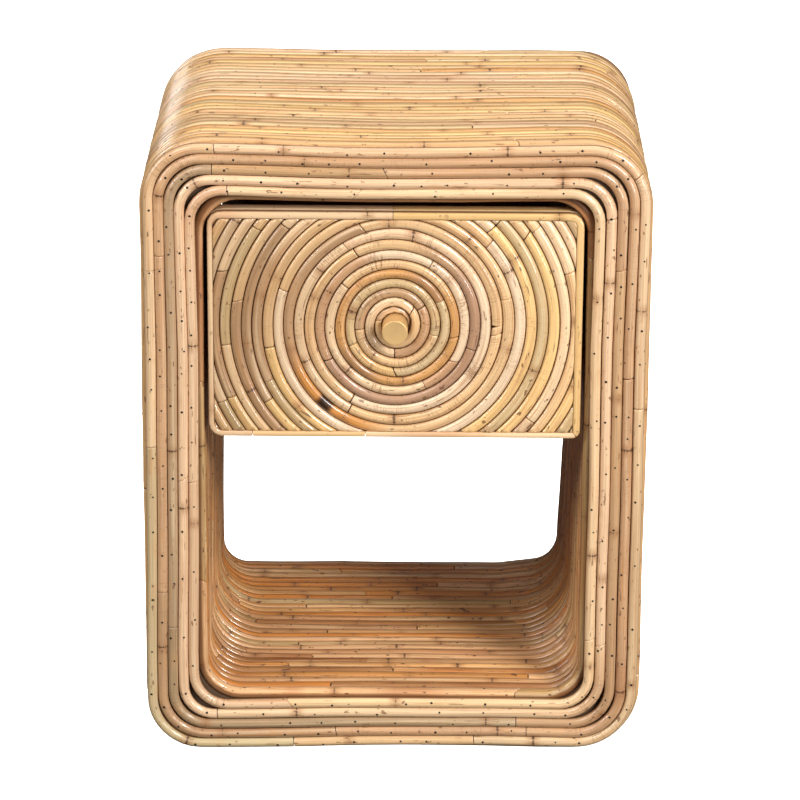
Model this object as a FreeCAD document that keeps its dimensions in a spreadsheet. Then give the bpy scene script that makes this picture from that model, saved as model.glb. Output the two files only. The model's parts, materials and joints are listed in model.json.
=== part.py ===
import FreeCAD, Part

import math
import os
import re

import Sketcher

# A free-standing side table in bent rattan poles, with one drawer.
#
# The frame is a rounded rectangular tube, open from front to back. A wooden carcass fills its walls.
# Pole loops lie side by side over the outside and round the opening, and five pole rings, one inside
# the other, close the front face and the back face. The drawer hangs on two wooden runners in the
# upper half of the opening. Its front is a coil of pole rings trimmed to a rectangle, bound with cane.
#
# Millimetres. The origin is the middle of the frame's footprint, at floor level. +Z is up, +X is to
# the right of someone who faces the drawer, and the drawer opens towards -Y.

DIMENSIONS = {
    # the frame
    "overall_width": 400,
    "overall_depth": 300,
    "overall_height": 514,
    "wall_thickness": 51,
    "outer_corner": 55,
    "bay_upper_corner": 20,
    "bay_lower_corner": 27,
    "carcass_corner_leg": 80,
    "skin_pole": 9.2,
    "skin_rows": 30,
    "face_pole": 8.45,
    "face_pitch": 8.55,
    "face_inset": 3,
    "first_ring_corner": 42,
    "second_ring_corner": 35,
    "third_ring_corner": 29.5,
    "fourth_ring_corner": 26.5,
    "fifth_ring_corner": 25,
    "assembly_gap": 0.15,
    "brad_diameter": 1.3,
    "brad_length": 17,
    "brad_spacing": 60,
    "brad_stagger": 18,
    # the drawer front
    "front_width": 293,
    "front_height": 185,
    "front_middle_height": 362.5,
    "front_recess": 6,
    "front_corner": 11,
    "binding_width": 4.2,
    "binding_depth": 8.4,
    "panel_thickness": 12,
    "coil_pole": 7.6,
    "coil_pitch": 7.95,
    "coil_hole": 20.8,
    "coil_first_pole": 5.4,
    "coil_drift": 0.22,
    "knob_diameter": 20,
    "knob_reach": 16.5,
    "knob_chamfer": 0.6,
    "knob_screw": 4,
    "knob_screw_head": 8,
    "knob_screw_grip": 12,
    # the drawer box and what carries it
    "box_width": 276,
    "box_height": 134,
    "box_length": 252,
    "box_board": 10,
    "box_bottom": 5,
    "bottom_rise": 8,
    "bottom_tongue": 4,
    "bottom_field": 2,
    "groove_depth": 5,
    "groove_height": 16.8,
    "dowel_diameter": 6,
    "dowel_length": 18,
    "runner_height": 16,
    "runner_thickness": 15.3,
    "runner_length": 246,
    "runner_set_back": 6,
    "runner_screw": 3.5,
    "runner_screw_head": 7,
    "runner_screw_length": 36,
    "runner_screw_spacing": 90,
    "stop_length": 12,
    "stop_height": 40,
    "running_gap": 0.5,
}

RING_CORNERS = ("first", "second", "third", "fourth", "fifth")
FACE_RINGS = len(RING_CORNERS)
WHOLE_COIL_RINGS = 9
COIL_RINGS = 20
# The rows of skin poles that are made one by one. The rows between them are made in groups.
SINGLE_ROWS = (1, 7, 13, 18, 24, 30)

# Formulas that several pieces share, in the words of the table above.
FACE_DEPTH = "(face_pole + assembly_gap)"
SKIN_DEPTH = "(skin_pole + assembly_gap)"
ROW_PITCH = f"((overall_depth - 2 * {FACE_DEPTH} - skin_pole) / (skin_rows - 1))"
CORE_THICKNESS = f"(wall_thickness - 2 * {SKIN_DEPTH})"
CORE_DEPTH = f"(overall_depth - 2 * {FACE_DEPTH})"
BAY_HALF_WIDTH = "(overall_width / 2 - wall_thickness)"
DRAWER_FACE = "(-overall_depth / 2 + front_recess)"
PANEL_FACE = f"({DRAWER_FACE} + binding_depth)"
PANEL_BACK = f"({PANEL_FACE} + panel_thickness)"
COIL_MIDDLE = f"({DRAWER_FACE} + binding_depth - coil_pole / 2 - assembly_gap)"
BOX_FLOOR = "(front_middle_height - box_height / 2 - 4)"
BOX_BACK = f"({PANEL_BACK} + box_length)"

doc = FreeCAD.newDocument("side_table")
sheet = doc.addObject("Spreadsheet::Sheet", "Dimensions")
for row, (alias, value) in enumerate(DIMENSIONS.items(), start=1):
    sheet.set(f"A{row}", alias)
    sheet.set(f"B{row}", str(value))
    sheet.setAlias(f"B{row}", alias)
doc.recompute()

pieces = []


def formula(text):
    """The expression for a formula written in the table's words."""
    return re.sub(r"[a-z_]+", lambda word: "Dimensions." + word.group(), text)


def size(text):
    """What a formula comes to now, as a first guess for a sketch."""
    return float(sheet.evalExpression(formula(text)))


def bind(thing, **formulas):
    """Binds properties, such as Length, to formulas."""
    for name, text in formulas.items():
        thing.setExpression(name, formula(text))


def place(thing, x="0", y="0", z="0", turn=0, axis=(0, 0, 1)):
    """Turns a piece about an axis, in degrees, and binds where its own origin stands."""
    rotation = FreeCAD.Rotation(FreeCAD.Vector(*axis), turn)
    thing.Placement = FreeCAD.Placement(FreeCAD.Vector(), rotation)
    for letter, text in (("x", x), ("y", y), ("z", z)):
        thing.setExpression(f"Placement.Base.{letter}", formula(text))


def piece(kind, label):
    """A new piece of the table, noted for the export."""
    thing = doc.addObject(kind, label)
    thing.Label = label
    pieces.append(thing)
    return thing


def origin_part(body, role):
    """One of the body's own origin planes or axes, such as XZ_Plane or Y_Axis."""
    return next(f for f in body.Origin.OriginFeatures if f.Role == role)


def new_sketch(body, name, role="XZ_Plane"):
    """A sketch on an origin plane. On XZ_Plane its own x and y run along X and Z, and it faces -Y."""
    sketch = body.newObject("Sketcher::SketchObject", name)
    sketch.AttachmentSupport = [(origin_part(body, role), "")]
    sketch.MapMode = "FlatFace"
    return sketch


def dimension(sketch, text, kind, *where):
    """A dimension in a sketch, bound to a formula."""
    index = sketch.addConstraint(Sketcher.Constraint(kind, *where, size(text)))
    sketch.setExpression(f"Constraints[{index}]", formula(text))


def from_origin(sketch, text, direction, side, geometry, point):
    """A bound distance from the sketch's origin to a point, on its plus or its minus side."""
    ends = (-1, 1, geometry, point) if side > 0 else (geometry, point, -1, 1)
    dimension(sketch, text, direction, *ends)


def circle(sketch, diameter, x="0", x_side=1, y="0", y_side=1):
    """A circle whose middle is bound at x and y from the sketch's origin."""
    middle = FreeCAD.Vector(x_side * size(x), y_side * size(y))
    outline = Part.Circle(middle, FreeCAD.Vector(0, 0, 1), size(diameter) / 2)
    index = sketch.addGeometry(outline, False)
    dimension(sketch, diameter, "Diameter", index)
    for direction, text, side, axis in (("DistanceX", x, x_side, -2), ("DistanceY", y, y_side, -1)):
        if text == "0":
            sketch.addConstraint(Sketcher.Constraint("PointOnObject", index, 3, axis))
        else:
            from_origin(sketch, text, direction, side, index, 3)


def rectangle(sketch, width, height, x="0", y="0"):
    """A rectangle with its lowest corner at x and y, both plus or nought."""
    left, low = size(x), size(y)
    right, high = left + size(width), low + size(height)
    corners = [FreeCAD.Vector(*at) for at in ((left, low), (right, low), (right, high), (left, high))]
    sides = [
        sketch.addGeometry(Part.LineSegment(start, end), False)
        for start, end in zip(corners, corners[1:] + corners[:1])
    ]
    for this, following in zip(sides, sides[1:] + sides[:1]):
        sketch.addConstraint(Sketcher.Constraint("Coincident", this, 2, following, 1))
    for side, lies in zip(sides, ("Horizontal", "Vertical", "Horizontal", "Vertical")):
        sketch.addConstraint(Sketcher.Constraint(lies, side))
    dimension(sketch, width, "DistanceX", sides[0], 1, sides[0], 2)
    dimension(sketch, height, "DistanceY", sides[1], 1, sides[1], 2)
    for direction, text, axis in (("DistanceX", x, -2), ("DistanceY", y, -1)):
        if text == "0":
            sketch.addConstraint(Sketcher.Constraint("PointOnObject", sides[0], 1, axis))
        else:
            from_origin(sketch, text, direction, 1, sides[0], 1)


def rounded_rectangle(sketch, half_width, half_height, upper_corner, lower_corner):
    """A rounded rectangle about the sketch's origin, drawn clockwise from the middle of its top side."""
    right, top = size(half_width), size(half_height)
    upper, lower = size(upper_corner), size(lower_corner)

    def line(start, end):
        edge = Part.LineSegment(FreeCAD.Vector(*start), FreeCAD.Vector(*end))
        return sketch.addGeometry(edge, False)

    def bend(x_side, y_side, radius, quarter):
        middle = FreeCAD.Vector(x_side * (right - radius), y_side * (top - radius))
        whole = Part.Circle(middle, FreeCAD.Vector(0, 0, 1), radius)
        start = quarter * math.pi / 2
        return sketch.addGeometry(Part.ArcOfCircle(whole, start, start + math.pi / 2), False)

    edges = [
        line((0, top), (right - upper, top)),
        bend(1, 1, upper, 0),
        line((right, top - upper), (right, lower - top)),
        bend(1, -1, lower, 3),
        line((right - lower, -top), (lower - right, -top)),
        bend(-1, -1, lower, 2),
        line((-right, lower - top), (-right, top - upper)),
        bend(-1, 1, upper, 1),
        line((upper - right, top), (0, top)),
    ]
    # a bend is drawn anticlockwise, so going clockwise it is entered at its second end
    for index in range(1, len(edges), 2):
        before, arc, after = edges[index - 1 : index + 2]
        sketch.addConstraint(Sketcher.Constraint("Tangent", before, 2, arc, 2))
        sketch.addConstraint(Sketcher.Constraint("Tangent", arc, 1, after, 1))
    for first, second, corner in ((1, 7, upper_corner), (3, 5, lower_corner)):
        sketch.addConstraint(Sketcher.Constraint("Equal", edges[first], edges[second]))
        dimension(sketch, corner, "Radius", edges[first])
    sketch.addConstraint(Sketcher.Constraint("Coincident", edges[8], 2, edges[0], 1))
    sketch.addConstraint(Sketcher.Constraint("PointOnObject", edges[0], 1, -2))
    for level in (0, 4, 8):
        sketch.addConstraint(Sketcher.Constraint("Horizontal", edges[level]))
    for upright in (2, 6):
        sketch.addConstraint(Sketcher.Constraint("Vertical", edges[upright]))
    from_origin(sketch, half_width, "DistanceX", 1, edges[2], 1)
    from_origin(sketch, half_width, "DistanceX", -1, edges[6], 1)
    from_origin(sketch, half_height, "DistanceY", 1, edges[0], 1)
    from_origin(sketch, half_height, "DistanceY", -1, edges[4], 1)


def pad(body, sketch, length, symmetric=False, reverse=False):
    """Thickens a sketch the way that it faces, the other way, or both ways."""
    feature = body.newObject("PartDesign::Pad", "pad")
    feature.Profile = sketch
    feature.SideType = "Symmetric" if symmetric else "One side"
    feature.Reversed = reverse
    bind(feature, Length=length)
    return feature


def pocket(body, sketch, length, symmetric=False, reverse=False):
    """Cuts a sketch out, against the way that it faces, the other way, or both ways."""
    doc.recompute()
    before = body.Tip.Shape.Volume
    feature = body.newObject("PartDesign::Pocket", "pocket")
    feature.Profile = sketch
    feature.SideType = "Symmetric" if symmetric else "One side"
    feature.Reversed = reverse
    bind(feature, Length=length)
    doc.recompute()
    if feature.Shape.Volume >= before:
        raise RuntimeError(f"{body.Label}: a pocket cuts nothing")
    return feature


def repeat(body, feature, axis, length, count):
    """Repeats one feature along an origin axis. The last copy stands at the given length."""
    pattern = body.newObject("PartDesign::LinearPattern", "pattern")
    pattern.Originals = [feature]
    pattern.Direction = (origin_part(body, axis), [""])
    pattern.Occurrences = count
    bind(pattern, Length=length)
    body.Tip = pattern
    return pattern


def board(label, length, depth, height, x, y, z):
    """A plain board with its lowest corner at x, y and z."""
    box = piece("Part::Box", label)
    bind(box, Length=length, Width=depth, Height=height)
    place(box, x, y, z)
    return box


def pole_loop(label, pole, half_width, half_height, corners, y, rows=1):
    """A pole bent into a rounded rectangle, or several side by side. The sizes are to its centreline."""
    body = piece("PartDesign::Body", label)
    path = new_sketch(body, label + "_path")
    rounded_rectangle(path, half_width, half_height, *corners)
    section = new_sketch(body, label + "_section", "YZ_Plane")
    circle(section, pole, y=half_height)
    sweep = body.newObject("PartDesign::AdditivePipe", label + "_sweep")
    sweep.Profile = section
    sweep.Spine = path
    if rows > 1:
        repeat(body, sweep, "Y_Axis", f"{ROW_PITCH} * {rows - 1}", rows)
    place(body, y=y, z="overall_height / 2")


# ---- the carcass inside the walls ----

CORE_HALF_WIDTH = f"(overall_width / 2 - {SKIN_DEPTH})"
CORE_HALF_HEIGHT = f"(overall_height / 2 - {SKIN_DEPTH})"
BOARD_HALF_WIDTH = f"({CORE_HALF_WIDTH} - carcass_corner_leg)"
BOARD_HALF_HEIGHT = f"({CORE_HALF_HEIGHT} - carcass_corner_leg)"


def level_board(label, z):
    """The carcass board between two upper or two lower corner blocks."""
    width = f"2 * {BOARD_HALF_WIDTH}"
    x = f"-1 * {BOARD_HALF_WIDTH}"
    board(label, width, CORE_DEPTH, CORE_THICKNESS, x, f"{CORE_DEPTH} / -2", z)


def upright_board(label, x):
    """The carcass board between an upper and a lower corner block."""
    height = f"2 * {BOARD_HALF_HEIGHT}"
    z = f"overall_height / 2 - {BOARD_HALF_HEIGHT}"
    board(label, CORE_THICKNESS, CORE_DEPTH, height, x, f"{CORE_DEPTH} / -2", z)


def corner_block(label, x, z, turn, bay_corner):
    """A corner block, rounded outside and hollowed towards the opening, with its sharp corner at x, z."""
    body = piece("PartDesign::Body", label)
    sketch = new_sketch(body, label + "_outline")
    outer_radius = f"(outer_corner - {SKIN_DEPTH})"
    hollow_radius = f"({bay_corner} + {SKIN_DEPTH})"
    leg, thick = size("carcass_corner_leg"), size(CORE_THICKNESS)
    outside, inside = size(outer_radius), size(hollow_radius)
    bent = thick + inside

    def line(start, end):
        edge = Part.LineSegment(FreeCAD.Vector(*start), FreeCAD.Vector(*end))
        return sketch.addGeometry(edge, False)

    def bend(middle, radius):
        whole = Part.Circle(FreeCAD.Vector(-middle, -middle), FreeCAD.Vector(0, 0, 1), radius)
        return sketch.addGeometry(Part.ArcOfCircle(whole, 0, math.pi / 2), False)

    top = line((-outside, 0), (-leg, 0))
    end = line((-leg, 0), (-leg, -thick))
    ceiling = line((-leg, -thick), (-bent, -thick))
    hollow = bend(bent, inside)
    wall = line((-thick, -bent), (-thick, -leg))
    foot = line((-thick, -leg), (0, -leg))
    side = line((0, -leg), (0, -outside))
    outer = bend(outside, outside)
    for joint in ((top, 2, end, 1), (end, 2, ceiling, 1), (wall, 2, foot, 1), (foot, 2, side, 1)):
        sketch.addConstraint(Sketcher.Constraint("Coincident", *joint))
    for joint in ((ceiling, 2, hollow, 2), (hollow, 1, wall, 1), (side, 2, outer, 1), (outer, 2, top, 1)):
        sketch.addConstraint(Sketcher.Constraint("Tangent", *joint))
    for lies, edges in (("Horizontal", (top, ceiling, foot)), ("Vertical", (end, wall, side))):
        for edge in edges:
            sketch.addConstraint(Sketcher.Constraint(lies, edge))
    sketch.addConstraint(Sketcher.Constraint("PointOnObject", top, 1, -1))
    sketch.addConstraint(Sketcher.Constraint("PointOnObject", side, 1, -2))
    dimension(sketch, outer_radius, "Radius", outer)
    dimension(sketch, hollow_radius, "Radius", hollow)
    for direction, corner in (("DistanceX", (end, 1)), ("DistanceY", (foot, 2))):
        from_origin(sketch, "carcass_corner_leg", direction, -1, *corner)
    for direction, corner in (("DistanceX", (wall, 2)), ("DistanceY", (end, 2))):
        from_origin(sketch, CORE_THICKNESS, direction, -1, *corner)
    pad(body, sketch, CORE_DEPTH, symmetric=True)
    place(body, x=x, z=z, turn=turn, axis=(0, 1, 0))


def carcass():
    """Four boards and four corner blocks, glued into a rounded rectangular tube."""
    core_top = f"(overall_height - {SKIN_DEPTH})"
    level_board("carcass_top_board", f"{core_top} - {CORE_THICKNESS}")
    level_board("carcass_bottom_board", SKIN_DEPTH)
    upright_board("carcass_left_board", f"-1 * {CORE_HALF_WIDTH}")
    upright_board("carcass_right_board", f"{CORE_HALF_WIDTH} - {CORE_THICKNESS}")
    left = f"-1 * {CORE_HALF_WIDTH}"
    upper, lower = "bay_upper_corner", "bay_lower_corner"
    corner_block("carcass_corner_top_right", CORE_HALF_WIDTH, core_top, 0, upper)
    corner_block("carcass_corner_top_left", left, core_top, -90, upper)
    corner_block("carcass_corner_bottom_left", left, SKIN_DEPTH, 180, lower)
    corner_block("carcass_corner_bottom_right", CORE_HALF_WIDTH, SKIN_DEPTH, 90, lower)


# ---- the rattan poles of the frame ----


def skin_loops(name, half_width, half_height, *corners):
    """One skin of pole loops from front to back, as single loops and the groups between them."""
    last = DIMENSIONS["skin_rows"]
    starts = sorted(set(SINGLE_ROWS) | {row + 1 for row in SINGLE_ROWS if row < last})
    for start, following in zip(starts, starts[1:] + [last + 1]):
        rows = following - start
        label = f"{name}_pole_{start:02d}"
        if rows > 1:
            label = f"{name}_poles_{start:02d}_to_{following - 1:02d}"
        y = f"-overall_depth / 2 + {FACE_DEPTH} + skin_pole / 2 + {start - 1} * {ROW_PITCH}"
        pole_loop(label, "skin_pole", half_width, half_height, corners, y, rows)


def face_rings(name, y):
    """The pole rings that close a face of the frame, numbered inwards."""
    for step in range(FACE_RINGS):
        inset = f"(face_inset + face_pole / 2 + {step} * face_pitch)"
        corner = f"{RING_CORNERS[step]}_ring_corner"
        half_width = f"overall_width / 2 - {inset}"
        half_height = f"overall_height / 2 - {inset}"
        pole_loop(f"{name}_ring_{step + 1}", "face_pole", half_width, half_height, (corner, corner), y)


def brads(label, y, turn):
    """Headless nails through the straight runs of the rings on one face."""
    body = piece("PartDesign::Body", label)
    runs = (("level", "overall_height", "X_Axis", 4), ("upright", "overall_width", "Z_Axis", 5))
    for run, across, axis, count in runs:
        length = f"{count - 1} * brad_spacing"
        sketch = new_sketch(body, f"{label}_{run}")
        for step in range(FACE_RINGS):
            inset = f"face_inset + face_pole / 2 + {step} * face_pitch"
            out = f"({across} / 2 - ({inset}))"
            along = f"({length} / 2 + {step % 2} * brad_stagger)"
            for side in (-1, 1):
                if run == "level":
                    circle(sketch, "brad_diameter", along, -1, out, side)
                else:
                    circle(sketch, "brad_diameter", out, side, along, -1)
        nails = pad(body, sketch, "brad_length")
        doc.recompute()
        repeat(body, nails, axis, length, count)
        doc.recompute()
    place(body, y=y, z="overall_height / 2", turn=turn)


def frame_poles():
    """Both skins, both faces and the nails."""
    skin_inset = "skin_pole / 2"
    skin_loops(
        "outer",
        f"overall_width / 2 - {skin_inset}",
        f"overall_height / 2 - {skin_inset}",
        f"outer_corner - {skin_inset}",
        f"outer_corner - {skin_inset}",
    )
    skin_loops(
        "inner",
        f"overall_width / 2 - wall_thickness + {skin_inset}",
        f"overall_height / 2 - wall_thickness + {skin_inset}",
        f"bay_upper_corner + {skin_inset}",
        f"bay_lower_corner + {skin_inset}",
    )
    face_rings("front", "face_pole / 2 - overall_depth / 2")
    face_rings("back", "overall_depth / 2 - face_pole / 2")
    brads("front_brads", "brad_length - overall_depth / 2", 0)
    brads("back_brads", "overall_depth / 2 - brad_length", 180)


# ---- what carries the drawer ----

RUNNER_BACK = f"({BAY_HALF_WIDTH} - assembly_gap)"
RUNNER_FACE = f"({RUNNER_BACK} - runner_thickness)"
RUNNER_FRONT = f"({PANEL_BACK} + runner_set_back)"
BOX_MIDDLE = f"({BOX_FLOOR} + box_height / 2)"


def screw(label, shaft, head, length):
    """A countersunk screw along -X from its own origin, the middle of its head's flat face."""
    body = piece("PartDesign::Body", label)
    sketch = new_sketch(body, label + "_outline", "XY_Plane")
    reach, wide, thin = size(length), size(head) / 2, size(shaft) / 2
    points = [(0, 0), (reach, 0), (reach, thin), (wide - thin, thin), (0, wide)]
    corners = [FreeCAD.Vector(*at) for at in points]
    edges = [
        sketch.addGeometry(Part.LineSegment(start, end), False)
        for start, end in zip(corners, corners[1:] + corners[:1])
    ]
    for this, following in zip(edges, edges[1:] + edges[:1]):
        sketch.addConstraint(Sketcher.Constraint("Coincident", this, 2, following, 1))
    axis, tip, shank, cone, face = edges
    sketch.addConstraint(Sketcher.Constraint("Coincident", axis, 1, -1, 1))
    for lies, edge in (("Horizontal", axis), ("Vertical", tip), ("Horizontal", shank), ("Vertical", face)):
        sketch.addConstraint(Sketcher.Constraint(lies, edge))
    dimension(sketch, length, "DistanceX", axis, 1, axis, 2)
    dimension(sketch, f"{shaft} / 2", "DistanceY", tip, 1, tip, 2)
    dimension(sketch, f"{head} / 2", "DistanceY", face, 2, face, 1)
    dimension(sketch, f"({head} - {shaft}) / 2", "DistanceX", face, 1, shank, 2)
    turned = body.newObject("PartDesign::Revolution", label + "_turned")
    turned.Profile = sketch
    turned.ReferenceAxis = (sketch, ["H_Axis"])
    return body, turned


def runner(name, side, turn):
    """A runner with its screws and the block that stops the drawer behind it."""
    x = f"{RUNNER_FACE}" if side > 0 else f"-1 * {RUNNER_BACK}"
    z = f"{BOX_MIDDLE} - runner_height / 2"
    board(f"drawer_runner_{name}", "runner_thickness", "runner_length", "runner_height", x, RUNNER_FRONT, z)
    stop_z = f"{BOX_MIDDLE} - stop_height / 2"
    stop_y = f"{BOX_BACK} + running_gap"
    board(f"drawer_stop_{name}", "runner_thickness", "stop_length", "stop_height", x, stop_y, stop_z)
    label = f"runner_screws_{name}"
    body, turned = screw(label, "runner_screw", "runner_screw_head", "runner_screw_length")
    repeat(body, turned, "Y_Axis", "2 * runner_screw_spacing", 3)
    first = f"{RUNNER_FRONT} + runner_length / 2 - {side} * runner_screw_spacing"
    place(body, f"{side} * {RUNNER_FACE}", first, BOX_MIDDLE, turn)


# ---- the drawer ----

COIL_HALF_WIDTH = "(front_width / 2 - binding_width - assembly_gap)"
COIL_HALF_HEIGHT = "(front_height / 2 - binding_width - assembly_gap)"


def front_panel():
    """The board behind the coil, with a hole for the knob's screw."""
    body = piece("PartDesign::Body", "drawer_front_panel")
    outline = new_sketch(body, "panel_outline")
    rounded_rectangle(outline, "front_width / 2", "front_height / 2", "front_corner", "front_corner")
    pad(body, outline, "panel_thickness")
    hole = new_sketch(body, "panel_screw_hole")
    circle(hole, "knob_screw + 2 * assembly_gap")
    pocket(body, hole, "3 * panel_thickness", symmetric=True)
    place(body, y=PANEL_BACK, z="front_middle_height")


def edge_binding():
    """The cane strip round the edge of the coil."""
    body = piece("PartDesign::Body", "drawer_edge_binding")
    outline = new_sketch(body, "binding_outline")
    for inset in ("0", "binding_width"):
        corner = f"front_corner - {inset}"
        rounded_rectangle(
            outline, f"front_width / 2 - {inset}", f"front_height / 2 - {inset}", corner, corner
        )
    pad(body, outline, "binding_depth")
    place(body, y=PANEL_FACE, z="front_middle_height")


def coil_sections(body, name, rings, drop):
    """The coil's ring sections turned about an axis along Y, some way below the middle of the front."""
    sections = new_sketch(body, name + "_sections", "XY_Plane")
    bind(sections, **{"AttachmentOffset.Base.z": f"-1 * {drop}"})
    for ring in rings:
        if ring == 0:
            circle(sections, "coil_first_pole", "(coil_hole + coil_first_pole) / 2")
            continue
        second = "(coil_hole + coil_pole) / 2 + coil_first_pole + 2 * assembly_gap"
        circle(sections, "coil_pole", f"{second} + {ring - 1} * coil_pitch")
    turned = body.newObject("PartDesign::Revolution", name + "_turned")
    turned.Profile = sections
    turned.ReferenceAxis = (sections, ["V_Axis"])


def coil():
    """The coil on the front: a thin ring round the knob, wider rings that drift down, and trimmed arcs."""
    whole = piece("PartDesign::Body", "drawer_coil_rings")
    for ring in range(WHOLE_COIL_RINGS):
        coil_sections(whole, f"coil_ring_{ring + 1}", [ring], f"{ring} * coil_drift")
    place(whole, y=COIL_MIDDLE, z="front_middle_height")
    arcs = piece("PartDesign::Body", "drawer_coil_arcs")
    last_drop = f"{WHOLE_COIL_RINGS - 1} * coil_drift"
    coil_sections(arcs, "coil_arcs", range(WHOLE_COIL_RINGS, COIL_RINGS), last_drop)
    trim = new_sketch(arcs, "coil_trim")
    circle(trim, "2 * front_width")
    trim_corner = "front_corner - binding_width"
    rounded_rectangle(trim, COIL_HALF_WIDTH, COIL_HALF_HEIGHT, trim_corner, trim_corner)
    pocket(arcs, trim, "3 * coil_pole", symmetric=True)
    place(arcs, y=COIL_MIDDLE, z="front_middle_height")


def knob():
    """The round knob, bored for its screw, with the edge of its face chamfered."""
    body = piece("PartDesign::Body", "drawer_knob")
    outline = new_sketch(body, "knob_outline")
    circle(outline, "knob_diameter")
    pad(body, outline, "knob_reach + binding_depth")
    bore = new_sketch(body, "knob_bore")
    circle(bore, "knob_screw")
    bored = pocket(body, bore, "knob_screw_grip", reverse=True)
    middles = [edge.CenterOfMass.y for edge in bored.Shape.Edges]
    front_edge = middles.index(min(middles)) + 1
    chamfer = body.newObject("PartDesign::Chamfer", "knob_edge")
    chamfer.Base = (bored, [f"Edge{front_edge}"])
    bind(chamfer, Size="knob_chamfer")
    body.Tip = chamfer
    place(body, y=PANEL_FACE, z="front_middle_height")


def knob_screw():
    """The machine screw that holds the knob, driven from inside the drawer."""
    body = piece("PartDesign::Body", "drawer_knob_screw")
    shaft = new_sketch(body, "knob_screw_shaft")
    circle(shaft, "knob_screw")
    pad(body, shaft, "panel_thickness + knob_screw_grip - assembly_gap")
    head = new_sketch(body, "knob_screw_head_outline")
    circle(head, "knob_screw_head")
    pad(body, head, "knob_screw_head / 3", reverse=True)
    place(body, y=PANEL_BACK, z="front_middle_height")


def drawer_side(label, x, y, turn):
    """A side of the box, seen from its own outer face: one groove for the runner, one for the bottom."""
    body = piece("PartDesign::Body", label)
    outline = new_sketch(body, label + "_outline", "YZ_Plane")
    rectangle(outline, "box_length", "box_height")
    pad(body, outline, "box_board")
    outer = new_sketch(body, label + "_runner_groove", "YZ_Plane")
    rectangle(outer, "box_length", "groove_height", y="(box_height - groove_height) / 2")
    pocket(body, outer, "groove_depth", reverse=True)
    inner = new_sketch(body, label + "_bottom_groove", "YZ_Plane")
    bind(inner, **{"AttachmentOffset.Base.z": "box_board"})
    rectangle(inner, "box_length", "box_bottom + 2 * assembly_gap", y="bottom_rise")
    pocket(body, inner, "bottom_tongue")
    place(body, x, y, BOX_FLOOR, turn)


def drawer_box():
    """Two sides, the back and the bottom with its raised field, and the dowels that join them."""
    inner_half = "(box_width / 2 - box_board)"
    drawer_side("drawer_side_left", "box_width / -2", PANEL_BACK, 0)
    drawer_side("drawer_side_right", "box_width / 2", BOX_BACK, 180)
    board(
        "drawer_back",
        f"2 * {inner_half}",
        "box_board",
        "box_height - 2 * bottom_rise - box_bottom",
        f"-1 * {inner_half}",
        f"{BOX_BACK} - box_board",
        f"{BOX_FLOOR} + bottom_rise + box_bottom + 2 * assembly_gap",
    )
    half_bottom = f"({inner_half} + bottom_tongue - assembly_gap)"
    bottom = piece("PartDesign::Body", "drawer_bottom")
    whole = new_sketch(bottom, "bottom_outline", "XY_Plane")
    rectangle(whole, f"2 * {half_bottom}", "box_length - assembly_gap")
    pad(bottom, whole, "box_bottom")
    field = new_sketch(bottom, "bottom_field_outline", "XY_Plane")
    field_length = "box_length - box_board - 3 * assembly_gap"
    rectangle(field, f"2 * ({inner_half} - assembly_gap)", field_length, "bottom_tongue", "assembly_gap")
    pad(bottom, field, "box_bottom + bottom_field")
    place(bottom, f"-1 * {half_bottom}", PANEL_BACK, f"{BOX_FLOOR} + bottom_rise + assembly_gap")
    front = piece("PartDesign::Body", "drawer_front_dowels")
    ends = new_sketch(front, "front_dowel_ends")
    for side in (-1, 1):
        for height in (-1, 1):
            circle(ends, "dowel_diameter", "(box_width - box_board) / 2", side, "box_height / 3", height)
    pad(front, ends, "dowel_length", symmetric=True)
    place(front, y=PANEL_BACK, z=BOX_MIDDLE)
    back = piece("PartDesign::Body", "drawer_back_dowels")
    left = new_sketch(back, "back_dowel_ends", "YZ_Plane")
    for height in (-1, 1):
        circle(left, "dowel_diameter", y="box_height / 3", y_side=height)
    row = pad(back, left, "dowel_length", symmetric=True)
    doc.recompute()
    repeat(back, row, "X_Axis", f"2 * {inner_half}", 2)
    place(back, x=f"-1 * {inner_half}", y=f"{BOX_BACK} - box_board / 2", z=BOX_MIDDLE)


carcass()
frame_poles()
runner("left", -1, 180)
runner("right", 1, 0)
front_panel()
edge_binding()
coil()
knob()
knob_screw()
drawer_box()
doc.recompute()

# ---- check and export ----

faults = [thing.Label for thing in doc.Objects if {"Invalid", "Error"} & set(thing.State)]
faults += [thing.Label for thing in pieces if thing.Shape.isNull() or not thing.Shape.isValid()]
if faults:
    raise RuntimeError(f"these failed: {faults}")

os.makedirs("parts", exist_ok=True)
for thing in pieces:
    thing.Shape.exportStep(f"parts/{thing.Label}.step")
    print(f"{thing.Label}: {len(thing.Shape.Solids)} solids, {thing.Shape.Volume / 1000:.1f} cm3")
print(f"{len(pieces)} pieces")
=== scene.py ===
"""The looks of the rattan side table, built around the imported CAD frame."""

import json
import math
import re

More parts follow.
